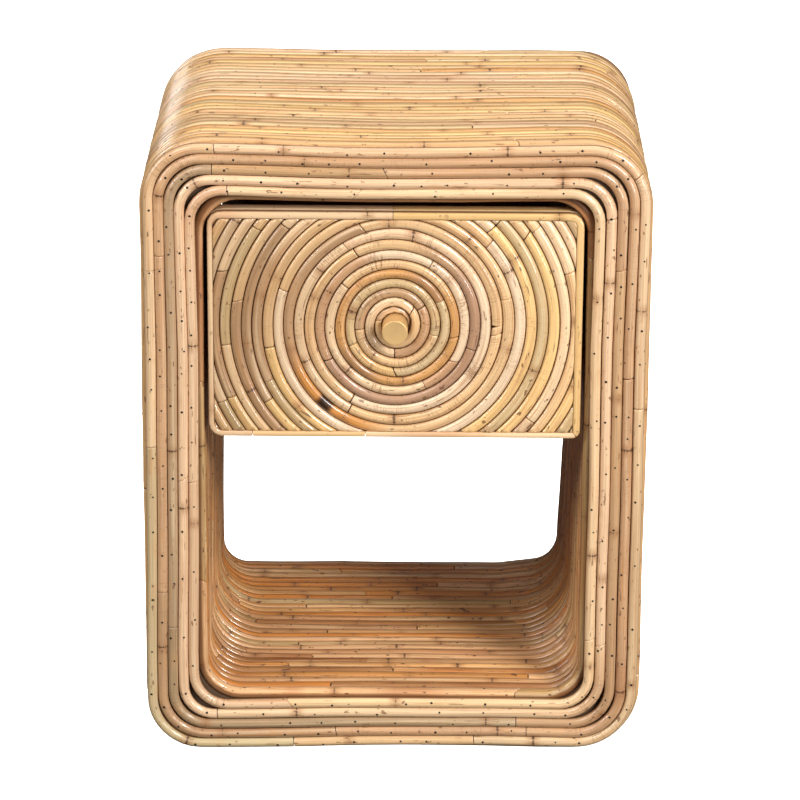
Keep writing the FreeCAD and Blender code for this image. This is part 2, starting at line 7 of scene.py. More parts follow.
import bmesh
import bpy
import numpy as np
from mathutils import Matrix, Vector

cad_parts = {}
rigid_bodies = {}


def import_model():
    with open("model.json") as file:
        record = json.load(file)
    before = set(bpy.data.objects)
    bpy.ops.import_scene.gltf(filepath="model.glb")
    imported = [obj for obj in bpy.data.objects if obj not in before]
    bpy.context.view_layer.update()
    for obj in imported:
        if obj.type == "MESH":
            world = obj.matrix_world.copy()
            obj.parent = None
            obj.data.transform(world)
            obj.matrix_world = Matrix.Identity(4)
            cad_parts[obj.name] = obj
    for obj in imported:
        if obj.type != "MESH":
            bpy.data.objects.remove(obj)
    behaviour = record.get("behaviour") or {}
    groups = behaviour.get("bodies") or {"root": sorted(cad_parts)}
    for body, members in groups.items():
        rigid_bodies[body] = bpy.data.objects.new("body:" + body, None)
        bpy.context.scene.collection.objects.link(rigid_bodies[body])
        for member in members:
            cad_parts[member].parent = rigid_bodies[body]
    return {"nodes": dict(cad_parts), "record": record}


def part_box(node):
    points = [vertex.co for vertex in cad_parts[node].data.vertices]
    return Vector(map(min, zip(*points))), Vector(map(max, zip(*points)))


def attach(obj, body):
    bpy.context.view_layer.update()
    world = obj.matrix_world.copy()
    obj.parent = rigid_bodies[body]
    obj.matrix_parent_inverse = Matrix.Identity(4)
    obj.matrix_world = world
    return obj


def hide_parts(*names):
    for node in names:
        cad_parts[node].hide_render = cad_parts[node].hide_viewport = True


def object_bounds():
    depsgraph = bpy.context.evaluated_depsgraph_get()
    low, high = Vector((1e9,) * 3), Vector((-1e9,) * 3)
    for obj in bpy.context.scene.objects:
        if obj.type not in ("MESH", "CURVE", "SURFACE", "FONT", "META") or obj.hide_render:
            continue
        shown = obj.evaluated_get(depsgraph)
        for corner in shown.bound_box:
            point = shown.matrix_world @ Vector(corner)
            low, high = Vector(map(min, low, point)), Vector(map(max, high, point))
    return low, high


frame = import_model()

CAD_BOX = [[float(v) for v in corner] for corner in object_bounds()]
NODES = sorted(frame["nodes"])

# ---- sizes that the frame's boxes don't give, in metres ----

OUTER_CORNER = 0.055
BAY_LOWER_CORNER = 0.027
# How many rows at the front have corners and a painted shade of their own, and the radius of the bay's
#  upper corners in them and in the rows behind them.
FRONT_ROWS = 2
BAY_FRONT_CORNER = 0.0273
BAY_UPPER_CORNER = 0.0235
# How much rounder the upper corners of the third row are than those behind it.
BAY_THIRD_EXTRA = 0.0027
# How much wider the lower corners are half-way back.
BAY_MIDDLE_SPREAD = 0.017
# What the last row adds to the lower right corner, and takes off the lower left one.
BAY_BACK_SPREAD = -0.001
BAY_BACK_CLOSE = 0.007
# How far the bay's right wall leans in at the foot of the last row, from which x outwards, and the width
# over which that sets in.
BAY_LEAN = 0.0085
LEAN_START = 0.09
LEAN_EASE = 0.06
# The binding's corners, of which the lower right one is tighter.
BINDING_CORNER = 0.011
BINDING_TIGHT = 0.0065
# The coil's outer edge after no turns, and its pitch before and after the turn at which that changes.
COIL_START = 0.01295
COIL_FIRST_PITCH = 0.00772
COIL_LAST_PITCH = 0.00825
COIL_CHANGE = 6.0
# How much each turn widens towards one side, from which turn on, and towards which angle.
COIL_SPREAD = 0.00068
SPREAD_START = 7.4
SPREAD_ANGLE = math.radians(20)
COIL_OVAL = 0.00065
KNOB_GAP = 0.0003
SPLICE_GAP = 0.0006
# The meshes of the poles: their sides, the step along them, and closer steps at cut ends and node marks.
POLE_SIDES = 18
POLE_STEP = 0.005
TIP_STEPS = (0, 0.0003, 0.0009, 0.002)
TIP_WIDTHS = (0.96, 0.985, 0.997, 1.0)
TIP_CLEAR = 0.0021
MARK_STEPS = (-0.004, -0.0018, -0.0007, 0, 0.0007, 0.0018, 0.004)
# How far from its end a length is sheared by a slanted cut, and how dark the cut face is.
SLANT_REACH = 0.014
CUT_SHADE = 0.85
# How much further away than it is the faintest node mark counts as being.
FAINT_OFFSET = 0.0012
# How far to either side of a place its bend is averaged.
BEND_EASE = 0.012
# Painted shade: the bay's poles are darker and browner than the rest, as the bay lies in shade, and the
# outside's
#  first rows are darker than those behind, against the light that falls strongest on the top's front edge.
BAY_PAINTED_SHADE = (0.94, 0.81, 0.65)
SKIN_SHADE = (1.09, 1.07, 1.03)
FRONT_ROWS_PAINTED_SHADE = (0.94, 0.87, 0.78)

# ---- natural colours of the poles, before the material's own streaks ----

TONES = {
    "honey": (0.75, 0.475, 0.235),
    "yellow": (0.79, 0.500, 0.205),
    "pale": (0.80, 0.550, 0.320),
    "white": (0.80, 0.580, 0.375),
    "blush": (0.80, 0.530, 0.320),
    "rosy": (0.57, 0.330, 0.175),
    "tan": (0.52, 0.310, 0.160),
    "green": (0.60, 0.415, 0.205),
    "olive": (0.63, 0.485, 0.265),
    "moss": (0.37, 0.245, 0.130),
    "orange": (0.66, 0.335, 0.115),
    "amber": (0.70, 0.300, 0.075),
    "umber": (0.42, 0.215, 0.090),
    "mauve": (0.45, 0.260, 0.155),
}
# How often each tone comes up among the lengths of the bay, and among all the others.
BAY_COMMON = ["honey"] * 2 + ["pale", "blush"] + ["rosy"] * 2 + ["tan"] + ["orange"] * 2
BAY_COMMON += ["amber", "green", "olive", "umber"]
COMMON = ["honey"] * 6 + ["pale"] * 4 + ["yellow"] * 3 + ["blush"] * 3 + ["rosy"] * 2
COMMON += ["tan", "green", "orange"]


# ---- waviness ----


class Wave:
    """A smooth random offset along a closed run, which drifts slowly from one row to the next."""

    def __init__(self, rng, length, shortest, size, drift=0.0):
        count = max(2, int(length / shortest))
        self.turns = np.arange(1, count + 1) * 2 * math.pi / length
        self.phases = rng.uniform(0, 2 * math.pi, count)
        self.drifts = rng.normal(size=count) * drift
        weights = rng.normal(size=count) / np.sqrt(np.arange(1, count + 1))
        self.weights = size * weights / max(1e-9, math.sqrt((weights**2).sum() / 2))

    def __call__(self, s, row=0.0):
        angles = np.outer(s, self.turns) + self.phases + row * self.drifts
        return np.sin(angles) @ self.weights


class Loop:
    """A rounded rectangle across the depth, read by the distance clockwise from the middle of its top."""

    def __init__(self, half_width, low, high, corners):
        height, full = high - low, 2 * half_width
        upper_right, lower_right, lower_left, upper_left = corners
        runs = [
            half_width - upper_right,
            height - upper_right - lower_right,
            full - lower_right - lower_left,
            height - lower_left - upper_left,
            half_width - upper_left,
        ]
        pieces = [(runs[0], 0.0)]
        for run, corner in zip(runs[1:], corners):
            pieces += [(corner * math.pi / 2, 1 / corner), (run, 0.0)]
        self.lengths, self.bends = np.array(pieces).T
        self.starts = np.concatenate([[0], np.cumsum(self.lengths)])
        self.length = self.starts[-1]
        x, z, heading = 0.0, high, 0.0
        states = []
        for length, bend in pieces:
            states.append((x, z, heading))
            x, z, heading = (float(v) for v in self.step(x, z, heading, bend, length))
        self.states = np.array(states)

    @staticmethod
    def step(x, z, heading, bend, length):
        """Where a run of that bend and length ends."""
        after = heading - bend * length
        safe = np.where(bend == 0, 1.0, bend)
        straight_x, straight_z = np.cos(heading) * length, np.sin(heading) * length
        bent_x = (np.sin(heading) - np.sin(after)) / safe
        bent_z = (np.cos(after) - np.cos(heading)) / safe
        return x + np.where(bend == 0, straight_x, bent_x), z + np.where(bend == 0, straight_z, bent_z), after

    def at(self, s):
        """x, z, heading and bend at those distances."""
        wrapped = np.mod(s, self.length)
        piece = np.clip(np.searchsorted(self.starts, wrapped, "right") - 1, 0, len(self.bends) - 1)
        x, z, heading = self.states[piece].T
        x, z, heading = self.step(x, z, heading, self.bends[piece], wrapped - self.starts[piece])
        return x, z, heading, self.bends[piece]

    def smooth_bend(self, s):
        """The bend with its ends eased, which the material reads."""
        shifts = np.linspace(-BEND_EASE, BEND_EASE, 9)
        return np.mean([self.at(s + shift)[3] for shift in shifts], axis=0)

    def near(self, x, z):
        """The distance of the point that lies nearest to x and z."""
        s = np.arange(0, self.length, 0.0005)
        at_x, at_z = self.at(s)[:2]
        return float(s[np.argmin((at_x - x) ** 2 + (at_z - z) ** 2)])


def directions(heading):
    """The outward normal and the tangent of a loop, where it heads that way."""
    nought = np.zeros_like(heading)
    normal = np.stack([-np.sin(heading), nought, np.cos(heading)], -1)
    tangent = np.stack([np.cos(heading), nought, np.sin(heading)], -1)
    return normal, tangent


def spans(splices, length):
    """Where each length between splices starts and ends, clockwise round a loop of that length."""
    return list(zip(splices, [*splices[1:], splices[0] + length]))


def scattered(rng, count, length):
    """That many splices round a loop of that length, unevenly spaced."""
    return list(np.sort(rng.uniform(0, 0.8, count) / count + np.arange(count) / count) * length)


# ---- pole meshes ----


class Poles:
    """Gathers lengths of pole into one mesh, with the coordinates that their material reads."""

    def __init__(self):
        self.arrays = {name: [] for name in ("points", "grain", "tint", "wear_and_groove_shade")}
        self.quads, self.tris, self.count = [], [], 0

    def add(
        self, centre, crest, across, deep, wide, along, bend, scar, tint, rng,
        slants=(0, 0), square=2.0, groove=1.0,
    ):
        """One length. deep and wide are its half sizes along crest and across. scar is its scar_distance."""
        sides = POLE_SIDES
        turns = np.linspace(0, 2 * math.pi, sides, endpoint=False)
        cosine, sine = np.cos(turns), np.sin(turns)
        out = np.sign(cosine) * np.abs(cosine) ** (2 / square)
        over = np.sign(sine) * np.abs(sine) ** (2 / square)
        tangent = np.cross(crest, across)
        near_start = np.clip(1 - (along - along[0]) / SLANT_REACH, 0, 1)
        near_end = np.clip(1 - (along[-1] - along) / SLANT_REACH, 0, 1)
        shear = near_start * slants[0] + near_end * slants[1]
        points = (
            centre[:, None, :]
            + crest[:, None, :] * (deep[:, None] * out)[:, :, None]
            + across[:, None, :] * (wide[:, None] * over)[:, :, None]
            + tangent[:, None, :] * (shear[:, None] * (wide[:, None] * over))[:, :, None]
        )
        rows = len(centre)
        turn = turns + rng.uniform(0, 2 * math.pi)
        offset = rng.uniform(-9, 9, 3)
        girth = float(np.median(wide))
        grain = np.empty((rows, sides, 3))
        grain[:, :, 0] = girth * np.cos(turn) + offset[0]
        grain[:, :, 1] = girth * np.sin(turn) + offset[1]
        grain[:, :, 2] = (along + offset[2])[:, None]
        wear_and_groove_shade = np.empty((rows, sides, 3))
        # the first value is how near a side lies to the pole's crest, which the material turns into painted
        # shade in the grooves
        wear_and_groove_shade[:, :, 0] = 1 - (1 - cosine) * groove
        wear_and_groove_shade[:, :, 1] = bend[:, None]
        wear_and_groove_shade[:, :, 2] = scar[:, None]
        tints = np.broadcast_to(np.asarray(tint).reshape(-1, 1, 3), (rows, sides, 3))
        # each array's values on the sides, and in the middle of either cut end
        gathered = {
            "points": (points, [points[end].mean(0) for end in (0, -1)]),
            "grain": (grain, [grain[end].mean(0) for end in (0, -1)]),
            "tint": (tints, [tints[end, 0] * CUT_SHADE for end in (0, -1)]),
            "wear_and_groove_shade": (wear_and_groove_shade, [(1.0, bend[end], scar[end]) for end in (0, -1)]),
        }
        for key, (values, middles) in gathered.items():
            self.arrays[key].append(np.vstack([values.reshape(-1, 3), *middles]))
        first = self.count
        self.count += rows * sides + 2
        low = first + np.arange(rows - 1)[:, None] * sides + np.arange(sides)
        after = first + np.arange(rows - 1)[:, None] * sides + (np.arange(sides) + 1) % sides
        self.quads.append(np.stack([low, low + sides, after + sides, after], -1).reshape(-1, 4))
        start, stop = first + rows * sides, first + rows * sides + 1
        rim = first + np.arange(sides)
        following = first + (np.arange(sides) + 1) % sides
        last = (rows - 1) * sides
        self.tris.append(np.stack([np.full(sides, start), rim, following], -1))
        self.tris.append(np.stack([np.full(sides, stop), following + last, rim + last], -1))

    def build(self, name, material):
        """The mesh as an object, kept inside the CAD box."""
        values = {key: np.concatenate(lists) for key, lists in self.arrays.items()}
        low, high = np.array(CAD_BOX[0]), np.array(CAD_BOX[1])
        values["points"] = np.clip(values["points"], low, high)
        mesh = new_mesh(name, values.pop("points"), np.concatenate(self.quads), np.concatenate(self.tris))
        for key, array in values.items():
            layer = mesh.attributes.new(key, "FLOAT_VECTOR", "POINT")
            layer.data.foreach_set("vector", array.astype(np.float32).ravel())
        return new_object(name, mesh, material)


def new_mesh(name, points, quads, tris):
    """A mesh from arrays of points, four-sided faces and three-sided faces."""
    mesh = bpy.data.meshes.new(name)
    corners = np.concatenate([quads.ravel(), tris.ravel()]).astype(np.int32)
    totals = np.concatenate([np.full(len(quads), 4), np.full(len(tris), 3)]).astype(np.int32)
    starts = np.concatenate([[0], np.cumsum(totals)[:-1]]).astype(np.int32)
    mesh.vertices.add(len(points))
    mesh.vertices.foreach_set("co", points.astype(np.float32).ravel())
    mesh.loops.add(len(corners))
    mesh.loops.foreach_set("vertex_index", corners)
    mesh.polygons.add(len(totals))
    mesh.polygons.foreach_set("loop_start", starts)
    mesh.polygons.foreach_set("loop_total", totals)
    mesh.polygons.foreach_set("use_smooth", np.full(len(totals), True))
    mesh.update(calc_edges=True)
    mesh.validate()
    return mesh


def new_object(name, mesh, material):
    obj = bpy.data.objects.new(name, mesh)
    bpy.context.scene.collection.objects.link(obj)
    mesh.materials.append(material)
    return obj


def sampled(start, end, marks):
    """Distances along a length of pole, closer together at its ends and at its node marks."""
    tips = np.array(TIP_STEPS)
    count = max(2, int((end - start) / POLE_STEP))
    parts = [start + tips, end - tips, np.linspace(start, end, count + 1)[1:-1]]
    parts += [mark + np.array(MARK_STEPS) for mark in marks]
    s = np.unique(np.concatenate(parts).round(5))
    s = s[(s >= start) & (s <= end)]
    inner = (s > start + TIP_CLEAR) & (s < end - TIP_CLEAR)
    ends = np.isin(s, np.concatenate([start + tips, end - tips]).round(5))
    return s[inner | ends]


def end_taper(s):
    """How much narrower a length is towards its cut ends."""
    from_end = np.minimum(s - s[0], s[-1] - s)
    return np.interp(from_end, TIP_STEPS, TIP_WIDTHS)


def marks_along(rng, start, end, shortest=0.10, longest=0.30):
    """Where the natural nodes of a length of pole lie."""
    marks = []
    at = start + rng.uniform(0.02, longest)
    while at < end - 0.012:
        marks.append(at)
        at += rng.uniform(shortest, longest)
    return marks


def scar_distance(s, marks, strengths):
    """A value that is 0 at a strong node mark, and grows with the distance from it and with its faintness."""
    if not marks:
        return np.full(len(s), 1.0)
    away = np.abs(s[:, None] - np.array(marks)[None, :])
    return (away + (1 - np.array(strengths))[None, :] * FAINT_OFFSET).min(1)


class Track:
    """One loop of pole as it really runs, with its waviness, which brads also read."""

    def __init__(self, loop, y, radius, face, wave_in, wave_y):
        self.loop, self.y, self.radius, self.face = loop, y, radius, face
        self.wave_in, self.wave_y = wave_in, wave_y
        self.girth, self.square, self.groove, self.shade = 1.0, 2.0, 1.0, (1.0, 1.0, 1.0)
        self.blotches, self.nodes = 1.5, (0.10, 0.30)
        self.ribbed = 0.0

    def at(self, s):
        x, z, heading, _ = self.loop.at(s)
        normal, tangent = directions(heading)
        depth = np.array([0.0, 1.0, 0.0])
        centre = np.stack([x, np.full_like(x, self.y), z], -1)
        centre = centre - normal * self.wave_in(s, x, z)[:, None] + depth * self.wave_y(s)[:, None]
        crest = {
            "out": normal,
            "in": -normal,
            "front": np.broadcast_to(-depth, normal.shape),
            "back": np.broadcast_to(depth, normal.shape),
        }[self.face]
        return centre, crest, np.cross(tangent, crest), self.loop.smooth_bend(s)


def add_track(poles, track, splices, tones, rng, slants, thickness=0.03):
    """A loop of pole as the lengths between its splices, clockwise, each with a tone of its own."""
    for index, (start, end) in enumerate(spans(splices, track.loop.length)):
        marks = marks_along(rng, start, end, *track.nodes)
        strengths = [float(rng.uniform(0, 1)) for _ in marks]
        s = sampled(start + SPLICE_GAP / 2, end - SPLICE_GAP / 2, marks)
        centre, crest, across, bend = track.at(s)
        bend = np.maximum(bend, track.ribbed)
        size = rng.uniform(1 - thickness, 1.0)
        swell = np.zeros(len(s))
        for mark, strength in zip(marks, strengths):
            away = (s - mark) / 0.003
            swell += strength * (0.03 * np.exp(-(away**2)) - 0.05 * np.exp(-((away * 4) ** 2)))
        width = track.radius * size * (1 + swell) * end_taper(s)
        width *= 1 + 0.012 * np.sin(s * rng.uniform(18, 40) + rng.uniform(0, 6))
        tint = shaded(tones[index], s, rng, track.blotches) * track.shade
        poles.add(
            centre, crest, across, width, width * track.girth, s, bend,
            scar_distance(s, marks, strengths), tint, rng,
            slants=(slants[index], slants[(index + 1) % len(slants)]),
            square=track.square, groove=track.groove,
        )


def shaded(tone, s, rng, blotches=2.5):
    """A tone that wanders a little along its length, with that many reddish stains in each metre."""
    base = np.array(TONES[tone]) * rng.uniform(0.93, 1.05)
    other = np.array(TONES[str(rng.choice(COMMON))])
    wander = 0.5 + 0.5 * np.sin(s * rng.uniform(3, 9) + rng.uniform(0, 6))
    share = (rng.uniform(0.0, 0.45) * wander)[:, None]
    tint = base * (1 - share) + other * share
    for _ in range(int(rng.poisson(blotches * (s[-1] - s[0])))):
        away = (s - rng.uniform(s[0], s[-1])) / rng.uniform(0.006, 0.045)
        share = (rng.uniform(0.15, 0.55) * np.exp(-(away**4)))[:, None]
        tint = tint * (1 - share) + base * (0.72, 0.52, 0.42) * share
    return tint


# ---- materials ----


class Tree:
    """Builds a node material with short calls. A value that is a socket is linked, any other is set."""

    def __init__(self, name):
        self.material = bpy.data.materials.new(name)
        self.material.use_nodes = True
        self.tree = self.material.node_tree
        self.tree.nodes.clear()
        self.output = self.tree.nodes.new("ShaderNodeOutputMaterial")

    def node(self, kind, settings=(), **inputs):
        made = self.tree.nodes.new("ShaderNode" + kind)
        for key, value in dict(settings).items():
            setattr(made, key, value)
        for key, value in inputs.items():
            self.put(made.inputs[key.replace("_", " ")], value)
        return made

    def put(self, socket, value):
        if isinstance(value, bpy.types.NodeSocket):
            self.tree.links.new(value, socket)
        else:
            socket.default_value = value

    def math(self, operation, *values):
        made = self.node("Math", {"operation": operation})
        for socket, value in zip(made.inputs, values):
            self.put(socket, value)
        return made.outputs[0]

    def scaled(self, vector, scale):
        made = self.node("VectorMath", {"operation": "MULTIPLY"})
        self.put(made.inputs[0], vector)
        self.put(made.inputs[1], scale)
        return made.outputs[0]

    def noise(self, vector, scale, detail=2.0, roughness=0.5):
        """Noise over a vector whose three axes are scaled apart."""
        place = self.scaled(vector, scale)
        made = self.node("TexNoise", Vector=place, Scale=1.0, Detail=detail, Roughness=roughness)
        return made.outputs["Fac"]

    def between(self, value, low, high, to_low=0.0, to_high=1.0):
        made = self.node("MapRange", {"interpolation_type": "SMOOTHSTEP"})
        for key, setting in (("Value", value), ("From Min", low), ("From Max", high)):
            self.put(made.inputs[key], setting)
        self.put(made.inputs["To Min"], to_low)
        self.put(made.inputs["To Max"], to_high)
        return made.outputs["Result"]

    def mix(self, share, first, second, blend="MIX"):
        made = self.node("Mix", {"data_type": "RGBA", "blend_type": blend})
        self.put(made.inputs["Factor"], share)
        for socket, value in ((made.inputs[6], first), (made.inputs[7], second)):
            if isinstance(value, tuple) and len(value) == 3:
                value = (*value, 1.0)
            self.put(socket, value)
        return made.outputs[2]

    def over(self, colour, mask, strength, tone):
        """The colour, with a tone laid over it where the mask is high."""
        return self.mix(self.math("MULTIPLY", mask, strength), colour, tone)

    def read(self, name, output="Vector"):
        return self.node("Attribute", {"attribute_name": name}).outputs[output]

    def parts(self, vector):
        made = self.node("SeparateXYZ")
        self.put(made.inputs[0], vector)
        return made.outputs[0], made.outputs[1], made.outputs[2]

    def finish(self, colour, roughness, bump=None, bump_height=0.0002, **settings):
        shader = self.node("BsdfPrincipled")
        self.put(shader.inputs["Base Color"], colour)
        self.put(shader.inputs["Roughness"], roughness)
        for key, value in settings.items():
            self.put(shader.inputs[key.replace("_", " ")], value)
        if bump is not None:
            made = self.node("Bump", Strength=1.0, Distance=bump_height)
            self.put(made.inputs["Height"], bump)
            self.put(shader.inputs["Normal"], made.outputs["Normal"])
        self.tree.links.new(shader.outputs[0], self.output.inputs["Surface"])
        return self.material


def rattan(name, cracks=1.0, streaks=1.0, groove_shade_and_grime_width=0.46):
    """Lacquered rattan: fibre streaks along it, cracks across its bends, node scars and dark flecks."""
    t = Tree(name)
    grain = t.read("grain")
    crest, bend, scar = t.parts(t.read("wear_and_groove_shade"))
    fibre = t.noise(grain, (1000, 1000, 11), 4.0, 0.6)
    broad = t.noise(grain, (240, 240, 5), 2.0)
    mottle = t.noise(grain, (70, 70, 32), 3.0, 0.6)
    colour = t.read("tint", "Color")
    light = t.between(fibre, 0.28, 0.72, 1.0 - 0.17 * streaks, 1.0 + 0.12 * streaks)
    grey = t.node("CombineColor", Red=light, Green=light, Blue=light).outputs[0]
    colour = t.mix(1.0, colour, grey, "MULTIPLY")
    colour = t.mix(t.between(broad, 0.56, 0.72, 0.0, 0.38 * streaks), colour, (0.45, 0.22, 0.09))
    colour = t.mix(t.between(broad, 0.44, 0.30, 0.0, 0.30 * streaks), colour, (0.82, 0.62, 0.38))
    colour = t.mix(t.between(mottle, 0.55, 0.75, 0.0, 0.40), colour, (0.58, 0.29, 0.11))
    stain = t.between(t.noise(grain, (430, 430, 12), 3.0, 0.6), 0.58, 0.72)
    colour = t.over(colour, stain, 0.50 * streaks, (0.52, 0.235, 0.075))
    # single dark fibres
    thin = t.between(t.noise(grain, (2100, 2100, 14), 2.0, 0.6), 0.60, 0.70)
    colour = t.over(colour, thin, 0.42 * streaks, (0.34, 0.15, 0.05))
    # cracks across a bend
    line = t.noise(grain, (130, 130, 1500), 2.0, 0.5)
    where = t.noise(grain, (60, 60, 45), 2.0)
    bent = t.between(bend, 2.0, 30.0)
    cracked = t.math("MULTIPLY", t.between(where, 0.40, 0.60), t.math("MAXIMUM", bent, 0.10))
    cracked = t.math("MULTIPLY", cracked, t.between(line, 0.54, 0.64))
    colour = t.over(colour, cracked, 0.50 * cracks, (0.26, 0.12, 0.045))
    # node scars, ragged across the pole
    ragged = t.noise(grain, (800, 800, 60), 3.0)
    nearby = t.math("ADD", scar, t.math("MULTIPLY", t.math("SUBTRACT", ragged, 0.5), 0.0046))
    line_scar = t.between(nearby, 0.0013, 0.0004)
    halo = t.math("MULTIPLY", t.between(scar, 0.0090, 0.0005), t.between(fibre, 0.38, 0.58))
    colour = t.over(colour, halo, 0.72, (0.33, 0.140, 0.048))
    colour = t.over(colour, line_scar, 0.90, (0.105, 0.045, 0.02))
    # flecks, and the grooves between the poles, darkened by painted shade with a little grime
    fleck = t.between(t.noise(grain, (420, 420, 170), 2.0, 0.4), 0.715, 0.76)
    colour = t.over(colour, fleck, 0.80, (0.14, 0.07, 0.03))
    splinter = t.between(t.noise(grain, (700, 700, 55), 2.0, 0.5), 0.685, 0.72)
    colour = t.over(colour, splinter, 0.62 * streaks, (0.20, 0.085, 0.03))
    knot = t.between(t.noise(grain, (240, 240, 130), 3.0, 0.5), 0.675, 0.70)
    colour = t.over(colour, knot, 0.62 * streaks, (0.17, 0.075, 0.03))
    # painted shade, with a little grime: each pole's flanks darken towards the grooves where it meets its
    # neighbours
    groove = t.between(crest, groove_shade_and_grime_width, 0.04)
    colour = t.over(colour, groove, 0.40 + 0.87 * groove_shade_and_grime_width, (0.17, 0.058, 0.016))
    rough = t.between(mottle, 0.3, 0.7, 0.34, 0.50)
    height = t.math("MULTIPLY", fibre, 0.28)
    height = t.math("SUBTRACT", height, t.math("MULTIPLY", cracked, 0.5))
    height = t.math("SUBTRACT", height, line_scar)
    return t.finish(colour, rough, height, 0.00022, Coat_Weight=0.70, Coat_Roughness=0.09)


def timber(name, tone, dark, gloss=0.5):
    """Plain sawn or planed timber with growth lines along X."""
    t = Tree(name)
    place = t.node("TexCoord").outputs["Object"]
    wander = t.noise(place, (3, 3, 3), 2.0)
    rings = t.noise(place, (3, 90, 90), 4.0, 0.6)
    pores = t.noise(place, (40, 900, 900), 2.0)
    colour = t.mix(t.between(rings, 0.35, 0.68), tone, dark)
    colour = t.mix(t.between(wander, 0.3, 0.7, 0.0, 0.25), colour, tuple(v * 0.8 for v in tone))
    colour = t.mix(t.between(pores, 0.60, 0.72, 0.0, 0.45), colour, tuple(v * 0.45 for v in dark))
    return t.finish(colour, t.between(pores, 0.3, 0.7, gloss, gloss + 0.15), pores, 0.0001)


def brushed(name, tone, roughness, metal=1.0):
    """Metal with fine marks and slight tarnish."""
    t = Tree(name)
    place = t.node("TexCoord").outputs["Object"]
    fine = t.noise(place, (2500, 300, 2500), 2.0)
    cloud = t.noise(place, (120, 120, 120), 3.0)
    colour = t.mix(t.between(cloud, 0.35, 0.75, 0.0, 0.35), tone, tuple(v * 0.75 for v in tone))
    rough = t.between(fine, 0.3, 0.7, roughness - 0.05, roughness + 0.08)
    return t.finish(colour, rough, fine, 0.00003, Metallic=metal)


RATTAN = rattan("rattan_pole", streaks=1.2)
BAY_RATTAN = rattan("rattan_bay", streaks=1.9)
# the coil's grooves get a wider painted shade
COIL = rattan("rattan_coil", cracks=1.7, streaks=1.3, groove_shade_and_grime_width=0.60)
CANE = rattan("cane_binding", cracks=0.3, streaks=0.6)
# painted shade: the carcass is made dark, since it shows only in the thin gaps behind the poles, which lie in
# shade
CARCASS_DARK_AS_SHADE = timber("carcass_wood", (0.15, 0.085, 0.045), (0.09, 0.050, 0.026))
DRAWER = timber("drawer_wood", (0.60, 0.44, 0.27), (0.47, 0.31, 0.17), gloss=0.42)
BRASS = brushed("brass", (0.86, 0.56, 0.24), 0.42, metal=0.45)
STEEL = brushed("steel", (0.055, 0.046, 0.040), 0.50)


# ---- the frame's poles ----


def box_of(node):
    low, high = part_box(node)
    return np.array(low), np.array(high)


SKIN_LOW, SKIN_HIGH = box_of("outer_pole_01")
SKIN_POLE = float(SKIN_HIGH[1] - SKIN_LOW[1])
ROWS = max(int(number) for node in NODES for number in re.findall(r"outer_pole_(\d+)", node))
ROW_FIRST = float(SKIN_LOW[1] + SKIN_HIGH[1]) / 2
ROW_LAST = float(sum(corner[1] for corner in box_of(f"outer_pole_{ROWS:02d}"))) / 2
ROW_PITCH = (ROW_LAST - ROW_FIRST) / (ROWS - 1)
HALF_DEPTH = float(CAD_BOX[1][1])
# Where the lean of the bay's right wall starts, a little below the drawer, and where it is at its full.
LEAN_TOP = float(box_of("drawer_front_panel")[0][2]) - 0.005
LEAN_FOOT = float(box_of("inner_pole_01")[0][2]) + 0.03
MIDDLE_Z = float(SKIN_LOW[2] + SKIN_HIGH[2]) / 2


def sag(x, z, y, depth):
    """How far the top run hangs and the bottom run rises in the middle, most at the front."""
    from_front = np.clip((y + HALF_DEPTH) / (2 * HALF_DEPTH), 0, 1)
    bow = np.cos(np.clip(x / 0.17, -1, 1) * math.pi / 2) ** 2
    top = np.where(z > MIDDLE_Z, 1.0, 0.45)
    level = np.clip((np.abs(z - MIDDLE_Z) - 0.17) / 0.03, 0, 1)
    return depth * bow * top * level * (1 - 0.85 * from_front)


def lower_right(x, z):
    """How far down the bay's right wall a place is, from 0 under the drawer to 1 at the foot."""
    below = np.clip((LEAN_TOP - z) / (LEAN_TOP - LEAN_FOOT), 0, 1)
    return below * np.clip((x - LEAN_START) / LEAN_EASE, 0, 1)


def corner_list(upper, lower):
    """The corners' radii in a loop's order, clockwise from the upper right."""
    return (upper, lower, lower, upper)


# What sets the two skins apart. uneven is how far the poles' girths differ, sag how deep the top hangs, lengths
#  the range of how many lengths make up a row, and the rest are settings of their tracks. The groove setting is
#  how strongly painted shade, with a little grime, darkens the grooves between the poles, and the inner skin's
#  shade is painted shade for the bay.
SKINS = {
    "outer": {
        "face": "out", "uneven": 0.25, "sag": 0.0036, "lengths": (2, 4), "tones": COMMON, "material": RATTAN,
        "square": 3.3, "groove": 0.50, "shade": SKIN_SHADE, "blotches": 3.0, "nodes": (0.07, 0.24),
    },
    "inner": {
        "face": "in", "uneven": 0.16, "sag": 0.0016, "lengths": (3, 6), "tones": BAY_COMMON,
        "material": BAY_RATTAN,
        "square": 2.5, "groove": 0.90, "shade": BAY_PAINTED_SHADE, "blotches": 7.0, "nodes": (0.05, 0.18),
    },
}


